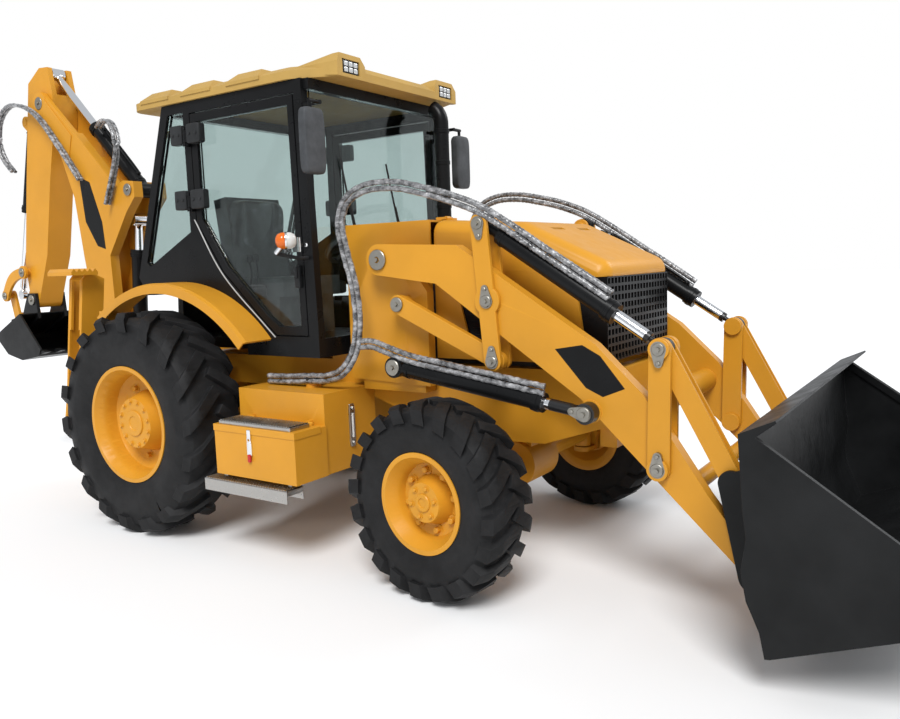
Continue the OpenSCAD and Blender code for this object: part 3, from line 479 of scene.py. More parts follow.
# the other side, from behind the cowl
hosePair(
    "tower_hose_left",
    [(1.53, 0.66, 1.80), (1.535, 0.66, 1.92), (1.60, 0.66, 2.015), (1.72, 0.65, 2.06), (1.90, 0.64, 2.06),
     (2.10, 0.64, 2.02)],
)
hosePair(
    "lever_hose_left",
    [(2.10, 0.64, 2.02), (2.18, 0.64, 1.998), (2.26, 0.64, 1.97), (2.35, 0.64, 1.933), (2.44, 0.64, 1.885)],
)
hosePair(
    "barrel_hose_left",
    [(2.44, 0.64, 1.885), (2.58, 0.635, 1.797), (2.73, 0.63, 1.697), (2.90, 0.62, 1.587),
     (3.06, 0.615, 1.48)],
)
# along each lift cylinder from its foot
for side, y in (("right", -0.69), ("left", 0.69)):
    hosePair(
        f"lift_hose_{side}",
        [(1.60, y, 1.22), (1.70, y, 1.225), (1.80, y, 1.198), (1.95, y, 1.157), (2.20, y, 1.118),
         (2.50, y, 1.072), (2.75, y, 1.034)],
    )
# loops of the backhoe: boom to stick, and boom to the stick cylinder
hosePair(
    "stick_loop",
    [(-1.70, -0.19, 2.42), (-1.95, -0.19, 2.70), (-2.25, -0.185, 2.99), (-2.48, -0.175, 3.10),
     (-2.72, -0.165, 3.13), (-2.90, -0.16, 3.03), (-2.96, -0.155, 2.86), (-2.90, -0.15, 2.70),
     (-2.78, -0.145, 2.58)],
    lean=(0.0, 0.0, 1.0),
)
hosePair(
    "cylinder_loop",
    [(-1.36, -0.19, 2.20), (-1.27, -0.19, 2.38), (-1.215, -0.18, 2.55), (-1.21, -0.17, 2.70),
     (-1.29, -0.15, 2.82), (-1.43, -0.12, 2.86), (-1.56, -0.08, 2.83)],
    lean=(0.0, 0.0, 1.0),
)
print("hoses laid")


# Fastenings at the pivots: a pale washer with a bolt head at each end of a pin

washer = {"thick": 0.007, "bolt": 0.012, "boltHigh": 0.011}


# a disc with a broken edge, then a six-sided head on it, spun about the Y axis and facing that way
def boltedWasher(x, y, z, radius, facing):
    t, bolt = washer["thick"], washer["bolt"]
    top = t + washer["boltHigh"]
    disc = [(0.0, -0.004), (radius, -0.004), (radius, t * 0.6), (radius - t * 0.4, t), (radius * 0.3, t)]
    head = [(bolt, t - 0.001), (bolt, top), (0.0, top)]
    place, axis = fromAxle((x, y, z)), (0.0, facing, 0.0)
    return joinShapes([spunShape(disc, place, axis, 32), spunShape(head, place, axis, 6)])


# a sheet: an outline in X and Z, drawn out along Y
def flatPanel(outline, y, thick):
    n = len(outline)
    points = np.array([(x, y + k * thick, z) for k in (0, 1) for x, z in outline])
    sides = [[i, (i + 1) % n, n + (i + 1) % n, n + i] for i in range(n)]
    return fromAxle(points), [list(range(n)), list(range(n, 2 * n))] + sides


# a keeper: the outline round a large and a small circle, with a bolt at the small end
keeper = {"big": 0.036, "small": 0.019, "reach": 0.062}


def keeperPlate(pin, y, facing, lean, t):
    lean = np.array(lean) / np.linalg.norm(lean)
    square = np.array((-lean[1], lean[0]))
    touch = math.acos((keeper["big"] - keeper["small"]) / keeper["reach"])
    large = keeper["big"] * np.exp(1j * np.linspace(touch, 2 * np.pi - touch, 30))
    small = keeper["reach"] + keeper["small"] * np.exp(1j * np.linspace(-touch, touch, 14))
    ring = np.concatenate([large, small])
    outline = np.array(pin) + ring.real[:, None] * lean + ring.imag[:, None] * square
    end = np.array(pin) + keeper["reach"] * lean
    place = fromAxle((end[0], facing * (y + t - 0.001), end[1]))
    bolt = spunShape(boltHead(0.009, 0.011), place, (0.0, facing, 0.0), 6)
    return joinShapes([flatPanel(outline.tolist(), facing * (y - 0.001), facing * (t + 0.001)), bolt])


leverY = max(abs(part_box("mid_levers")[k][1]) for k in (0, 1))
pinY = max(abs(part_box("lever_pins")[k][1]) for k in (0, 1))
shaftY = max(abs(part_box("bucket_pins")[k][1]) for k in (0, 1))
fastenings = {
    "chassis": [("arm", 0.638, 0.056), ("link", 0.621, 0.040), ("liftRear", 0.708, 0.044)],
    "arms": [("leverMid", leverY, 0.030), ("liftFront", 0.712, 0.034)],
    "mid_levers_body": [("leverTop", leverY, 0.029), ("leverFoot", leverY, 0.029)],
    "lever_pins_body": [("frontFoot", pinY, 0.031)],
    "link_pins_body": [("frontTop", pinY, 0.029)],
    "bucket_links_body": [("bucketLink", 0.627, 0.036)],
    "bucket_pins_body": [("bucket", shaftY, 0.042)],
    "boom_body": [("stickBase", 0.156, 0.046)],
    "stick_body": [("stickTip", 0.158, 0.052), ("hoeGuide", 0.174, 0.040), ("hoePin", 0.144, 0.046)],
    "guide_links_body": [("hoeLink", 0.174, 0.034)],
}
for body, pins in fastenings.items():
    shapes = [boltedWasher(pivots[n][0], s * y, pivots[n][1], r, s) for n, y, r in pins for s in (-1, 1)]
    makePiece("washers_" + body, joinShapes(shapes), zincPlate, body, "grey_steel", 30)
# pin, the face it lies on, which way its bolt lies, thickness
faceY = leverY - 0.008
thin, thick = 0.0075, pinY - faceY + 0.0005
keepers = {
    "mid_levers_body": [
        ("leverTop", faceY, (0.1, -1.0), thin),
        ("leverMid", faceY, (-0.1, 1.0), thin),
        ("leverFoot", faceY, (0.0, 1.0), thin),
    ],
    "front_levers_body": [("frontTop", faceY, (0.0, -1.0), thick), ("frontFoot", faceY, (0.0, 1.0), thick)],
    "lift_rods_body": [("liftFront", 0.7035, (-1.0, 0.15), thin)],
}
for body, plates in keepers.items():
    shapes = [keeperPlate(pivots[n], y, s, lean, t) for n, y, lean, t in plates for s in (-1, 1)]
    makePiece("keepers_" + body, joinShapes(shapes), zincPlate, body, "grey_steel", 30)
print("pins capped")


# Wheel nuts and hub bolts, set round each wheel's own axis

wheelSet = {
    "front": {"nutRing": 0.152, "nuts": 8, "nutOut": 0.026, "hubRing": 0.076, "bolts": 6, "hubOut": 0.100},
    "rear": {"nutRing": 0.232, "nuts": 10, "nutOut": 0.004, "hubRing": 0.140, "bolts": 12, "hubOut": 0.120},
    "nutSize": (0.016, 0.024),
    "boltSize": (0.010, 0.010),
    "firstTurn": 0.2,
}


# a nut on a wide washer: radius and height
def wheelNut(size, tall):
    wide, top = size * 1.7, tall + 0.003
    return [(wide, -0.006), (wide, 0.003), (size, 0.003), (size, tall), (size * 0.8, top), (0.0, top)]


joints = {j["child"]: j for j in frame["record"]["behaviour"]["joints"]}
for end in ("front", "rear"):
    for side, outward in (("right", -1), ("left", 1)):
        sizes, body = wheelSet[end], f"{end}_wheel_{side}"
        joint = joints[body]
        axis = Vector(joint["axis"])
        axis *= outward * (1 if axis.y > 0 else -1)
        square = axis.cross((0, 0, 1)).normalized()
        axis, square, other = (np.array(v) for v in (axis, square, axis.cross(square)))
        low, high = (np.array(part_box(f"rim_{end}_{side}")[k]) for k in (0, 1))
        centre = np.array(joint["pos_m"])
        centre = centre + axis * np.dot((low + high) / 2 - centre, axis)
        shapes = []
        for ring, count, out, nut in (
            (sizes["nutRing"], sizes["nuts"], sizes["nutOut"], wheelNut(*wheelSet["nutSize"])),
            (sizes["hubRing"], sizes["bolts"], sizes["hubOut"], wheelNut(*wheelSet["boltSize"])),
        ):
            for turn in np.arange(count) * 2 * np.pi / count + wheelSet["firstTurn"]:
                place = centre + axis * out + ring * (square * math.cos(turn) + other * math.sin(turn))
                shapes.append(spunShape(nut, place, axis, 12))
        cap = sizes["hubRing"] * 0.6
        rimmed = [(cap, -0.004), (cap, 0.006), (cap - 0.004, 0.010)]
        sunk = [(cap * 0.55, 0.010), (cap * 0.5, 0.005), (0.0, 0.005)]
        shapes.append(spunShape(rimmed + sunk, centre + axis * sizes["hubOut"], axis, 40))
        nuts = joinShapes(shapes)
        makePiece(f"nuts_{end}_{side}", nuts, finishes["yellow_paint"], body, "yellow_paint", 30)
print("wheels bolted")


# Cylinders: a gland ring at the rod's end, a foot collar, and a steel line along each barrel

# foot and eye, places across, radius, neck, length, and whether a pipe runs along the barrel
barrels = {
    "tilt_barrels_body": ("leverTop", "frontTop", (-0.595, 0.595), 0.046, 0.110, 0.830, True),
    "lift_barrels_body": ("liftRear", "liftFront", (-0.672, 0.672), 0.042, 0.060, 0.900, True),
    "boom_barrel_body": ("boomFoot", "boomEye", (0.0,), 0.058, 0.060, 0.720, False),
    "stick_barrel_body": ("stickBase", "stickEye", (0.0,), 0.055, 0.060, 0.800, True),
    "hoe_barrel_body": ("hoeFoot", "hoeLink", (0.0,), 0.048, 0.060, 0.800, True),
}
for body, (foot, eye, sides, radius, neck, length, piped) in barrels.items():
    foot, eye = (np.array([pivots[n][0], 0.0, pivots[n][1]]) for n in (foot, eye))
    along = (eye - foot) / np.linalg.norm(eye - foot)
    rise = np.cross(along, (0.0, 1.0, 0.0))
    rise *= 1 if rise[2] > 0 else -1
    shapes = []
    for y in sides:
        start = fromAxle(foot + (0.0, y, 0.0))
        skin, lip = radius + 0.004, radius + 0.010
        ring = [(skin, 0.0), (lip, 0.003), (lip, 0.020), (skin, 0.023)]
        shapes.append(spunShape(ring, start + along * (length - 0.045), along, 36))
        weld = [(radius - 0.002, -0.012), (skin, -0.006), (skin, 0.006), (radius - 0.002, 0.012)]
        shapes.append(spunShape(weld, start + along * (neck + 0.03), along, 36))
        if not piped:
            continue
        run = length - neck - 0.02
        stations = (0.07, 0.08, 0.11, run - 0.11, run - 0.08, run - 0.07)
        heights = (-0.004, 0.012, 0.016, 0.016, 0.012, -0.004)
        line = [start + along * (neck + t) + rise * (radius + o) for t, o in zip(stations, heights)]
        shapes.append(sweptTube(smoothPath(line, 40), 0.009, 10))
        for t in (0.08, run - 0.08):
            boss = [(0.017, -0.008), (0.017, 0.012), (0.014, 0.016), (0.0, 0.016)]
            shapes.append(spunShape(boss, start + along * (neck + t) + rise * radius, rise, 16))
    makePiece("glands_" + body, joinShapes(shapes), finishes["black_paint"], body, "black_paint", 35)
print("cylinders dressed")


# Cab: seat and console inside, lamps, mirrors, hinge covers and wipers outside

cushionFilm, tree, shader = newFinish("cushionFilm", Roughness=0.28, Coat_Weight=0.5, Coat_Roughness=0.1)
tones = [(0.35, (0.02, 0.02, 0.022)), (0.6, (0.07, 0.07, 0.075)), (0.75, (0.25, 0.26, 0.27))]
tree.links.new(addRamp(tree, addNoise(tree, 6.0, 6.0, 0.7), tones), shader.inputs["Base Color"])
addBump(tree, shader, addNoise(tree, 14.0, 5.0, 0.7), 0.5, 0.01)

cab = {
    "half": 0.680,
    "front": 1.300,
    "top": 2.830,
    "wheel": (0.985, 0.0, 1.800),
    "wheelRadius": 0.175,
    "wheelTilt": -35.0,
}


# a cushion: a soft block whose top sinks in two troughs along it, as sewn panels do
def cushion(centre, half, lean, seams):
    points, faces = softBlock((0, 0, 0), half, 0.34, 30, 60)
    points = points.copy()
    across = points[:, 1] / half[1]
    points[:, 2] -= 0.018 * np.exp(-((np.abs(across) - seams) / 0.07) ** 2) * (points[:, 2] > 0)
    c, s = math.cos(lean), math.sin(lean)
    x, y, z = points.T
    return np.stack([c * x + s * z, y, c * z - s * x], -1) + fromAxle(centre), faces


cushions = {
    "seat_cushion": {"centre": (0.36, 0.0, 1.530), "half": (0.235, 0.255, 0.065), "lean": 0.0},
    "seat_back": {"centre": (0.085, 0.0, 1.83), "half": (0.305, 0.24, 0.062), "lean": 98.0},
}
for name, pad in cushions.items():
    shape = cushion(pad["centre"], pad["half"], math.radians(pad["lean"]), 0.55)
    makePiece(name, shape, cushionFilm, "chassis", "dark_plastic", 60)

# steering wheel: a round rim in its own plane, three spokes, a hub and a column
tilt = math.radians(cab["wheelTilt"])
wheelAxis = np.array((math.sin(tilt), 0.0, math.cos(tilt)))
lay, across = np.array((math.cos(tilt), 0.0, -math.sin(tilt))), np.array((0.0, 1.0, 0.0))
turn = np.linspace(0, 2 * np.pi, 65)[:, None]
hub = fromAxle(cab["wheel"])
rimPath = hub + cab["wheelRadius"] * (np.cos(turn) * lay + np.sin(turn) * across)
inside = [sweptTube(rimPath, 0.015, 12, wheelAxis)]
for angle in np.radians((90.0, 210.0, 330.0)):
    end = hub + cab["wheelRadius"] * (math.cos(angle) * lay + math.sin(angle) * across)
    inside.append(sweptTube(np.linspace(hub - wheelAxis * 0.03, end, 8), 0.011, 10, (0.3, 0.4, 0.86)))
boss = [(0.0, -0.05), (0.05, -0.05), (0.055, -0.02), (0.045, 0.0), (0.0, 0.004)]
inside.append(spunShape(boss, hub, wheelAxis, 32))
column = np.linspace(fromAxle((1.17, 0.0, 1.55)), hub - wheelAxis * 0.04, 10)
inside.append(sweptTube(column, np.linspace(0.06, 0.035, 10)[:, None], 20))
# dash, seat box, and a console with two levers on each side
inside.append(softBlock(fromAxle((1.19, 0.0, 1.46)), (0.055, 0.14, 0.26), 0.3))
inside.append(softBlock(fromAxle((0.36, 0.0, 1.33)), (0.20, 0.24, 0.13), 0.25))
for y in (-0.39, 0.39):
    inside.append(softBlock(fromAxle((0.33, y, 1.50)), (0.22, 0.06, 0.05), 0.3))
    for x in (0.44, 0.50):
        stem = smoothPath(fromAxle([(x, y, 1.53), (x + 0.02, y, 1.62), (x + 0.01, y, 1.70)]), 12)
        inside.append(sweptTube(stem, 0.007, 8))
        inside.append(softBlock(fromAxle((x + 0.01, y, 1.72)), (0.018, 0.018, 0.026), 0.6, 12, 16))
controls = joinShapes(inside)
makePiece("controls", controls, finishes["dark_plastic"], "chassis", "dark_plastic", 50, ("cab_interior",))

# work lamps: a dark housing with a bright dish behind each of six squares
lampGlow = newFinish("lampGlow", Base_Color=(0.8, 0.81, 0.8, 1), Metallic=0.9, Roughness=0.25)[0]
workLamp = {"across": 0.470, "ahead": 0.152, "down": 0.069, "columns": 0.041, "rows": 0.032}
cells, housings = [], []
face, level = cab["front"] + workLamp["ahead"], cab["top"] - workLamp["down"]
for y in (-workLamp["across"], workLamp["across"]):
    housings.append(softBlock(fromAxle((face - 0.012, y, level)), (0.013, 0.066, 0.035), 0.15))
    for i in (-1, 0, 1):
        for k in (-0.5, 0.5):
            place = fromAxle((face + 0.0015, y + i * workLamp["columns"], level + k * workLamp["rows"]))
            cells.append(softBlock(place, (0.004, 0.016, 0.0125), 0.25, 12, 20))
housings = joinShapes(housings)
makePiece("lamp_housings", housings, finishes["dark_plastic"], "chassis", "dark_plastic", 50, ("lamps",))
makePiece("lamp_cells", joinShapes(cells), lampGlow, "chassis", "lamp_lens", 50)

# turn lamps on bent stalks, amber outwards and back, clear inwards and forwards
amber = mouldedLens("amberLens", (0.85, 0.17, 0.01), 0.18, 0.25)
clearLens = mouldedLens("clearLens", (0.86, 0.85, 0.82), 0.15, 0.35)
turnLamp = {
    "middle": (-0.038, 0.860, 1.803),  # x from the cab's front
    "corner": (-0.105, 0.875, 1.735),
    "arm": [(-0.050, 0.672, 1.705), (-0.052, 0.76, 1.708)],
    "facing": (0.72, -0.69),
    "lens": [(0.012, 0.0), (0.040, 0.0), (0.046, 0.008), (0.045, 0.026),
             (0.036, 0.046), (0.018, 0.056), (0.0, 0.058)],
    "band": [(0.046, -0.006), (0.049, -0.004), (0.049, 0.004), (0.046, 0.006)],
}


# a point given from the cab's front, on the right side for -1 and the left for 1
def atCab(side, point):
    return fromAxle((cab["front"] + point[0], side * point[1], point[2]))


stalks, brackets, halves = [], [], {-1: [], 1: []}
for s in (-1, 1):
    middle, corner = atCab(s, turnLamp["middle"]), atCab(s, turnLamp["corner"])
    reach = [atCab(s, q) for q in turnLamp["arm"]] + [corner]
    brackets.append(sweptTube(smoothPath(reach, 20), 0.011, 12))
    stalks.append(sweptTube(np.linspace(corner, middle, 10), 0.014, 16))
    ahead = np.array((turnLamp["facing"][0], s * turnLamp["facing"][1], 0.0))
    for facing in (-1, 1):
        halves[facing].append(spunShape(turnLamp["lens"], middle, facing * ahead, 36))
    stalks.append(spunShape(turnLamp["band"], middle, ahead, 36))
makePiece("turn_brackets", joinShapes(brackets), finishes["dark_plastic"], "chassis", "dark_plastic", 40)
makePiece("turn_stalks", joinShapes(stalks), finishes["chrome_rod"], "chassis", "chrome_rod", 40)
makePiece("turn_amber", joinShapes(halves[-1]), amber, "chassis", "lamp_lens", 40)
makePiece("turn_clear", joinShapes(halves[1]), clearLens, "chassis", "lamp_lens", 40)

# mirror shells with a plate of glass towards the driver
silver = newFinish("mirrorSilver", Base_Color=(0.75, 0.78, 0.8, 1), Metallic=1.0, Roughness=0.04)[0]
shells, plates = [], []
for s in (-1, 1):
    middle = np.array((cab["front"] + 0.081, s * (cab["half"] + 0.061), 2.3375))
    shells.append(softBlock(fromAxle(middle + (0.006, 0.0, 0.0)), (0.030, 0.080, 0.178), 0.30, 30, 60))
    plates.append(softBlock(fromAxle(middle - (0.0235, 0.0, 0.0)), (0.003, 0.066, 0.155), 0.22, 20, 40))
makePiece("mirror_shells", joinShapes(shells), greyPlastic, "chassis", "dark_plastic", 60)
makePiece("mirror_glass", joinShapes(plates), silver, "chassis", "chrome_rod", 60)

# hinge covers, half on the pillar and half on the door, each with two bolts
hingeCover = {"heights": (2.098, 2.498), "across": 0.700, "bolts": 0.724}
for side, s in (("right", -1), ("left", 1)):
    for body, x, w in ((f"door_{side}_body", 0.375, 0.062), ("chassis", 0.215, 0.055)):
        blocks = []
        for z in hingeCover["heights"]:
            middle = fromAxle((x, s * hingeCover["across"], z))
            blocks.append(softBlock(middle, (w, 0.026, 0.060), 0.22, 20, 40))
            for k in (-0.5, 0.5):
                place = fromAxle((x + k * w, s * hingeCover["bolts"], z))
                blocks.append(spunShape(boltHead(0.006, 0.008), place, (0.0, s, 0.0), 6))
        cover = joinShapes(blocks)
        makePiece(f"hinge_cover_{side}_{body}", cover, finishes["dark_plastic"], body, "dark_plastic", 45)

# pale bead along the lower edge of each door opening
paleTrim = mouldedGrain("paleTrim", (0.42, 0.42, 0.41), 0.5, 200.0, 0.0005, 1.1)
bead = [(0.288, 1.975), (0.512, 1.634), (0.853, 1.326), (0.950, 1.243)]
beadPaths = [smoothPath(fromAxle([(x, s * 0.6815, z) for x, z in bead]), 60) for s in (-1, 1)]
beads = [sweptTube(path, 0.0045, 8) for path in beadPaths]
makePiece("door_beads", joinShapes(beads), paleTrim, "chassis", "dark_plastic", 50)

# wipers: an arm from a spindle under the glass and a blade leaning on it
wiper = {
    "feet": [(-0.16, 1.30), (0.30, 1.30)],
    "tips": [(-0.34, 2.02), (0.10, 2.02)],
    "bladeHalf": 0.27,
    "spindle": [(0.022, -0.012), (0.022, 0.012), (0.014, 0.02), (0.0, 0.02)],
}
arms = []
face = cab["front"] - 0.012
for foot, tip in zip(wiper["feet"], wiper["tips"]):
    bow = (face + 0.012, foot[0] * 0.7 + tip[0] * 0.3, foot[1] * 0.7 + tip[1] * 0.3)
    arm = smoothPath(fromAxle([(face, *foot), bow, (face + 0.004, *tip)]), 24)
    arms.append(sweptTube(arm, np.linspace(0.009, 0.005, 24)[:, None], 8))
    lean = wiper["bladeHalf"] * np.array((0.0, tip[0] - foot[0], tip[1] - foot[1])) / 0.74
    middle = fromAxle((face - 0.003, *tip))
    arms.append(sweptTube(np.linspace(middle - lean, middle + lean, 12), 0.006, 8))
    arms.append(spunShape(wiper["spindle"], fromAxle((face, *foot)), (1.0, 0.0, 0.0), 24))
makePiece("wipers", joinShapes(arms), finishes["dark_plastic"], "chassis", "dark_plastic", 45)
print("cab fitted")


# Steps, box and tank fittings

# a grip plate: rows of saw teeth across it, heights from a triangle wave along and a cut between rows
def gripPlate(low, high, rows, tooth, pitch):
    x = np.arange(low[0], high[0] + 1e-6, pitch / 2)
    shapes = []
    depth = (high[1] - low[1]) / rows
    for r in range(rows):
        y0, y1 = low[1] + depth * (r + 0.08), low[1] + depth * (r + 0.92)
        top = low[2] + tooth * (np.arange(len(x)) % 2)
        front = np.stack([x, np.full_like(x, y0), top], -1)
        rear = front + (0.0, y1 - y0, 0.0)
        foot = np.stack([x, np.full_like(x, y0), np.full_like(x, low[2] - 0.004)], -1)
        heel = foot + (0.0, y1 - y0, 0.0)
        rowsOf = np.stack([foot, front, rear, heel])
        shapes.append((rowsOf.reshape(-1, 3), gridQuads(4, len(x), wrapRows=True).tolist()))
    return joinShapes(shapes)


for s, side in ((-1, "right"), (1, "left")):
    near, far = sorted((s * 1.004, s * 1.126))
    grip = gripPlate(fromAxle((0.775, near, 0.470)), fromAxle((1.425, far, 0.470)), 5, 0.007, 0.020)
    makePiece("step_grip_" + side, grip, finishes["grey_steel"], "chassis", "grey_steel", 20)
tread = gripPlate(fromAxle((0.884, -1.088, 0.8085)), fromAxle((1.436, -0.942, 0.8085)), 6, 0.006, 0.020)
plate = softBlock(fromAxle((1.160, -1.015, 0.7985)), (0.2825, 0.0775, 0.0105), 0.06, 16, 40)
makePiece("lid_grip", joinShapes([tread, plate]), finishes["grey_steel"], "lid_body", "grey_steel", 20)

# latch: a hook from the lid, and a lever with a red tip on the box
redPlastic = newFinish("redPlastic", Base_Color=(0.45, 0.012, 0.01, 1), Roughness=0.35)[0]
keep = softBlock(fromAxle((1.140, -1.107, 0.752)), (0.014, 0.005, 0.026), 0.3, 14, 24)
makePiece("latch_hook", keep, finishes["chrome_rod"], "lid_body", "chrome_rod", 40)
latch = [softBlock(fromAxle((1.140, -1.105, 0.672)), (0.018, 0.007, 0.040), 0.25, 14, 24)]
for x in (1.129, 1.151):
    wire = np.linspace(fromAxle((x, -1.111, 0.650)), fromAxle((x, -1.111, 0.735)), 8)
    latch.append(sweptTube(wire, 0.003, 8))
makePiece("latch", joinShapes(latch), finishes["chrome_rod"], "chassis", "chrome_rod", 40)
tip = softBlock(fromAxle((1.140, -1.112, 0.618)), (0.011, 0.006, 0.022), 0.35, 14, 24)
makePiece("latch_tip", tip, redPlastic, "chassis", "dark_plastic", 50)

# level gauge: a slim frame with a clear tube and two bolts
gauge = [softBlock(fromAxle((1.474, -0.630, 0.745)), (0.008, 0.022, 0.125), 0.3, 24, 40)]
for z in (0.645, 0.845):
    gauge.append(spunShape(boltHead(0.008, 0.011), fromAxle((1.480, -0.630, z)), (1.0, 0.0, 0.0), 6))
makePiece("level_gauge", joinShapes(gauge), finishes["grey_steel"], "chassis", "grey_steel", 40)
level = np.linspace(fromAxle((1.482, -0.630, 0.675)), fromAxle((1.482, -0.630, 0.815)), 8)
makePiece("gauge_tube", sweptTube(level, 0.007, 12), clearLens, "chassis", "lamp_lens", 40)

# filler cap with eight grips, radius rising and falling round it
filler = {
    "place": (1.200, -0.640, 0.0),
    "outline": [(0.050, 0.985), (0.052, 0.990), (0.052, 1.016), (0.046, 1.022), (0.0, 1.022)],
    "sides": 96,
}
turn = np.linspace(0, 2 * np.pi, filler["sides"], endpoint=False)
cap = []
for radius, high in filler["outline"]:
    wave = radius * (1 + 0.05 * np.sign(np.cos(8 * turn)) * (radius > 0.045))
    cap.append(np.stack([wave * np.cos(turn), wave * np.sin(turn), np.full_like(turn, high)], -1))
capPoints = np.stack(cap).reshape(-1, 3) + fromAxle(filler["place"])
capFaces = gridQuads(len(cap), filler["sides"], wrapCols=True).tolist()
makePiece("filler_cap", (capPoints, capFaces), finishes["dark_plastic"], "chassis", "dark_plastic", 35)
print("steps and tank fitted")


# Plain dark panels, as thin sheets on the plates

panels = {
    "arms": {
        "across": 0.630,
        "outline": [(2.780, 1.226), (2.921, 1.249), (3.011, 1.201),
                    (3.131, 1.053), (3.023, 1.009), (2.938, 1.047)],
    },
    "boom_body": {
        "across": 0.150,
        "outline": [(-1.779, 2.450), (-1.640, 2.398), (-1.510, 2.069),
                    (-1.490, 1.852), (-1.597, 1.881), (-1.736, 2.083)],
    },
}
for body, sheet in panels.items():
    under, thick = sheet["across"] - 0.0005, 0.0015
    shapes = [flatPanel(sheet["outline"], s * under, s * thick) for s in (-1, 1)]
    makePiece("panel_" + body, joinShapes(shapes), finishes["black_paint"], body, "black_paint", 30)
print("panels laid")


# Exhaust sleeve: a straight run, then an arc of 60 degrees backwards

sleeve = {
    "x": 1.475,
    "y": 0.385,
    "foot": 1.915,
    "bend": 2.550,
    "arc": 0.120,
    "radius": 0.0475,
    "clamps": (2.02, 2.30, 2.50),
}
rise = np.linspace(sleeve["foot"], sleeve["bend"], 30)
theta = np.radians(np.linspace(2, 60, 20))
straight = np.stack([np.full(30, sleeve["x"]), np.full(30, sleeve["y"]), rise], -1)
centreX = sleeve["x"] - sleeve["arc"]
curveX, curveZ = centreX + sleeve["arc"] * np.cos(theta), sleeve["bend"] + sleeve["arc"] * np.sin(theta)
curve = np.stack([curveX, np.full(20, sleeve["y"]), curveZ], -1)
pipe = sweptTube(fromAxle(np.concatenate([straight, curve])), sleeve["radius"], 28)
clamp = [(0.045, -0.014), (0.051, -0.012), (0.051, 0.012), (0.045, 0.014)]
bands = [spunShape(clamp, fromAxle((sleeve["x"], sleeve["y"], z)), (0, 0, 1), 36) for z in sleeve["clamps"]]
makePiece("exhaust_sleeve", joinShapes([pipe] + bands), finishes["black_paint"], "chassis", "black_paint", 40)

# Worn cutting edge of the loader bucket: p along its floor, q square to it

edge = {
    "heel": (3.868, 0.166),
    "roll": 21.7,
    "half": 1.117,
    "section": [(0.655, 0.0215), (0.660, 0.0265), (0.770, 0.0265),
                (0.786, 0.0165), (0.786, 0.012), (0.760, 0.0150)],
}
c, s = math.cos(math.radians(edge["roll"])), math.sin(math.radians(edge["roll"]))
heelX, heelZ = edge["heel"]
section = [(heelX + p * c - q * s, heelZ + p * s + q * c) for p, q in edge["section"]]
wornSteel = platedMetal("wornSteel", (0.24, 0.235, 0.23), 0.42, (0.3, 1.0, 0.3))
blade = flatPanel(section, -edge["half"], 2 * edge["half"])
makePiece("cutting_edge", blade, wornSteel, "bucket", "grey_steel", 30)

# Door handles and the red lamps behind the fenders

redLens = mouldedLens("redLens", (0.5, 0.01, 0.008), 0.2, 0.2)
lenses = []
for s, side in ((-1, "right"), (1, "left")):
    body = f"door_{side}_body"
    backing = softBlock(fromAxle((1.172, s * 0.690, 1.600)), (0.020, 0.012, 0.065), 0.3, 18, 30)
    button = softBlock(fromAxle((1.172, s * 0.704, 1.625)), (0.012, 0.008, 0.034), 0.4, 18, 30)
    handle = joinShapes([backing, button])
    makePiece("door_handle_" + side, handle, finishes["dark_plastic"], body, "dark_plastic", 50)
    lenses.append(softBlock(fromAxle((-0.518, s * 0.825, 1.364)), (0.010, 0.050, 0.036), 0.22, 18, 36))
makePiece("rear_lenses", joinShapes(lenses), redLens, "chassis", "lamp_lens", 50)
print("exhaust, edge and lamps added")


# Floor, light and camera

studio = {
    "floorHalf": 60.0,
    "floorColour": (0.86, 0.86, 0.86, 1),
    "worldStrength": 0.62,
    "lampAngle": 24.0,
    "lamps": {"key": (2.9, (42.0, 8.0, 20.0)), "fill": (0.7, (58.0, 0.0, 150.0))},  # strength and turn
}
half = studio["floorHalf"]
floorMesh = bpy.data.meshes.new("floor")
corners = [(-half, -half, 0), (half, -half, 0), (half, half, 0), (-half, half, 0)]
floorMesh.from_pydata(corners, [], [(0, 1, 2, 3)])
floor = bpy.data.objects.new("floor", floorMesh)
bpy.context.scene.collection.objects.link(floor)


# rays straight from the camera or through glass meet plain white, all others the lit world
def whiteToCamera(tree, lit, white, output):
    path = tree.nodes.new("ShaderNodeLightPath")
    seen = tree.nodes.new("ShaderNodeMath")
    seen.operation = "MAXIMUM"
    tree.links.new(path.outputs["Is Camera Ray"], seen.inputs[0])
    tree.links.new(path.outputs["Is Transmission Ray"], seen.inputs[1])
    mix = tree.nodes.new("ShaderNodeMixShader")
    tree.links.new(seen.outputs[0], mix.inputs["Fac"])
    tree.links.new(lit, mix.inputs[1])
    tree.links.new(white, mix.inputs[2])
    tree.links.new(mix.outputs[0], output)


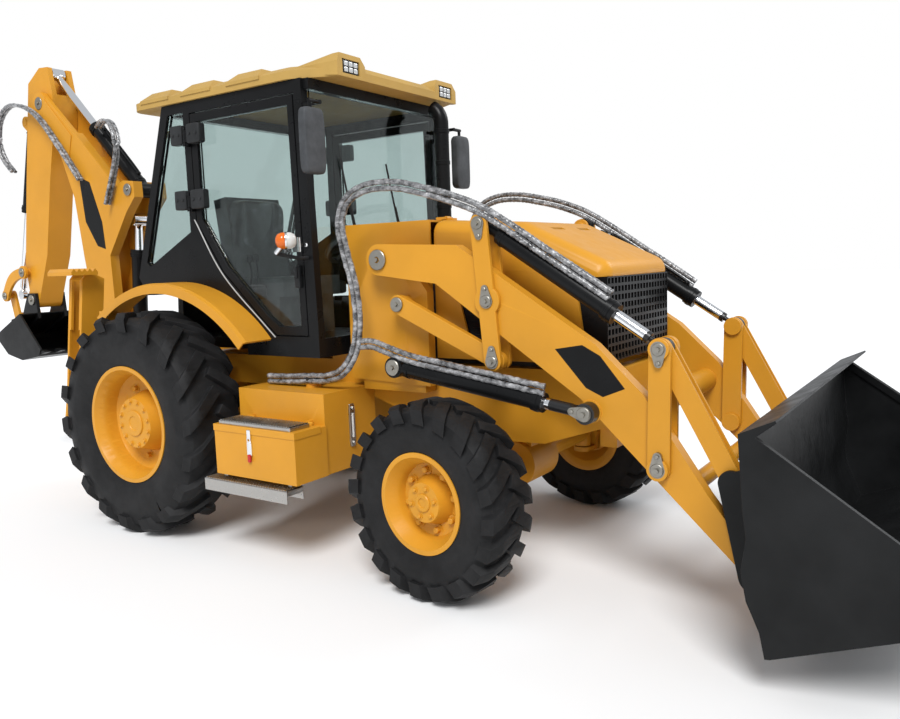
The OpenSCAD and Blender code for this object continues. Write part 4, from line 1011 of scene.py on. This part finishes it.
world = bpy.data.worlds.new("studio")
bpy.context.scene.world = world
world.use_nodes = True
tree = world.node_tree
lit = tree.nodes["Background"]
lit.inputs["Color"].default_value = (0.93, 0.96, 1.0, 1)
lit.inputs["Strength"].default_value = studio["worldStrength"]
white = tree.nodes.new("ShaderNodeBackground")
white.inputs["Color"].default_value = (1, 1, 1, 1)
white.inputs["Strength"].default_value = 1.0
whiteToCamera(tree, lit.outputs[0], white.outputs[0], tree.nodes["World Output"].inputs["Surface"])

floorMesh.materials.append(newFinish("floorPaint", Roughness=0.9, Base_Color=studio["floorColour"])[0])

for name, (strength, turn) in studio["lamps"].items():
    lamp = bpy.data.lights.new(name, "SUN")
    lamp.energy = strength
    lamp.angle = math.radians(studio["lampAngle"])
    obj = bpy.data.objects.new(name, lamp)
    obj.rotation_euler = [math.radians(a) for a in turn]
    bpy.context.scene.collection.objects.link(obj)

# the camera stands low off the front right corner; x is from the rear axle
shot = {
    "place": (4.534, -4.106, 1.660),
    "yaw": 34.21,
    "pitch": 6.9,
    "roll": -1.97,
    "focalPixels": 812.106,
    "imageWidth": 900,
    "sensor": 36.0,
}
yaw, pitch, roll = (math.radians(shot[k]) for k in ("yaw", "pitch", "roll"))
forward = Vector((-math.sin(yaw) * math.cos(pitch), math.cos(yaw) * math.cos(pitch), -math.sin(pitch)))
right = Vector((math.cos(yaw), math.sin(yaw), 0))
up = right.cross(forward)
rightRolled = right * math.cos(roll) + up * math.sin(roll)
upRolled = up * math.cos(roll) - right * math.sin(roll)
cameraData = bpy.data.cameras.new("camera")
cameraData.sensor_fit = "HORIZONTAL"
cameraData.sensor_width = shot["sensor"]
cameraData.lens = shot["focalPixels"] * shot["sensor"] / shot["imageWidth"]
cameraData.clip_end = 300
camera = bpy.data.objects.new("camera", cameraData)
turn = Matrix((rightRolled, upRolled, -forward)).transposed().to_4x4()
camera.matrix_world = Matrix.Translation(Vector(shot["place"]) + Vector((axleX, 0, 0))) @ turn
bpy.context.scene.collection.objects.link(camera)
bpy.context.scene.camera = camera
bpy.context.scene.view_settings.view_transform = "Standard"
print("studio set")
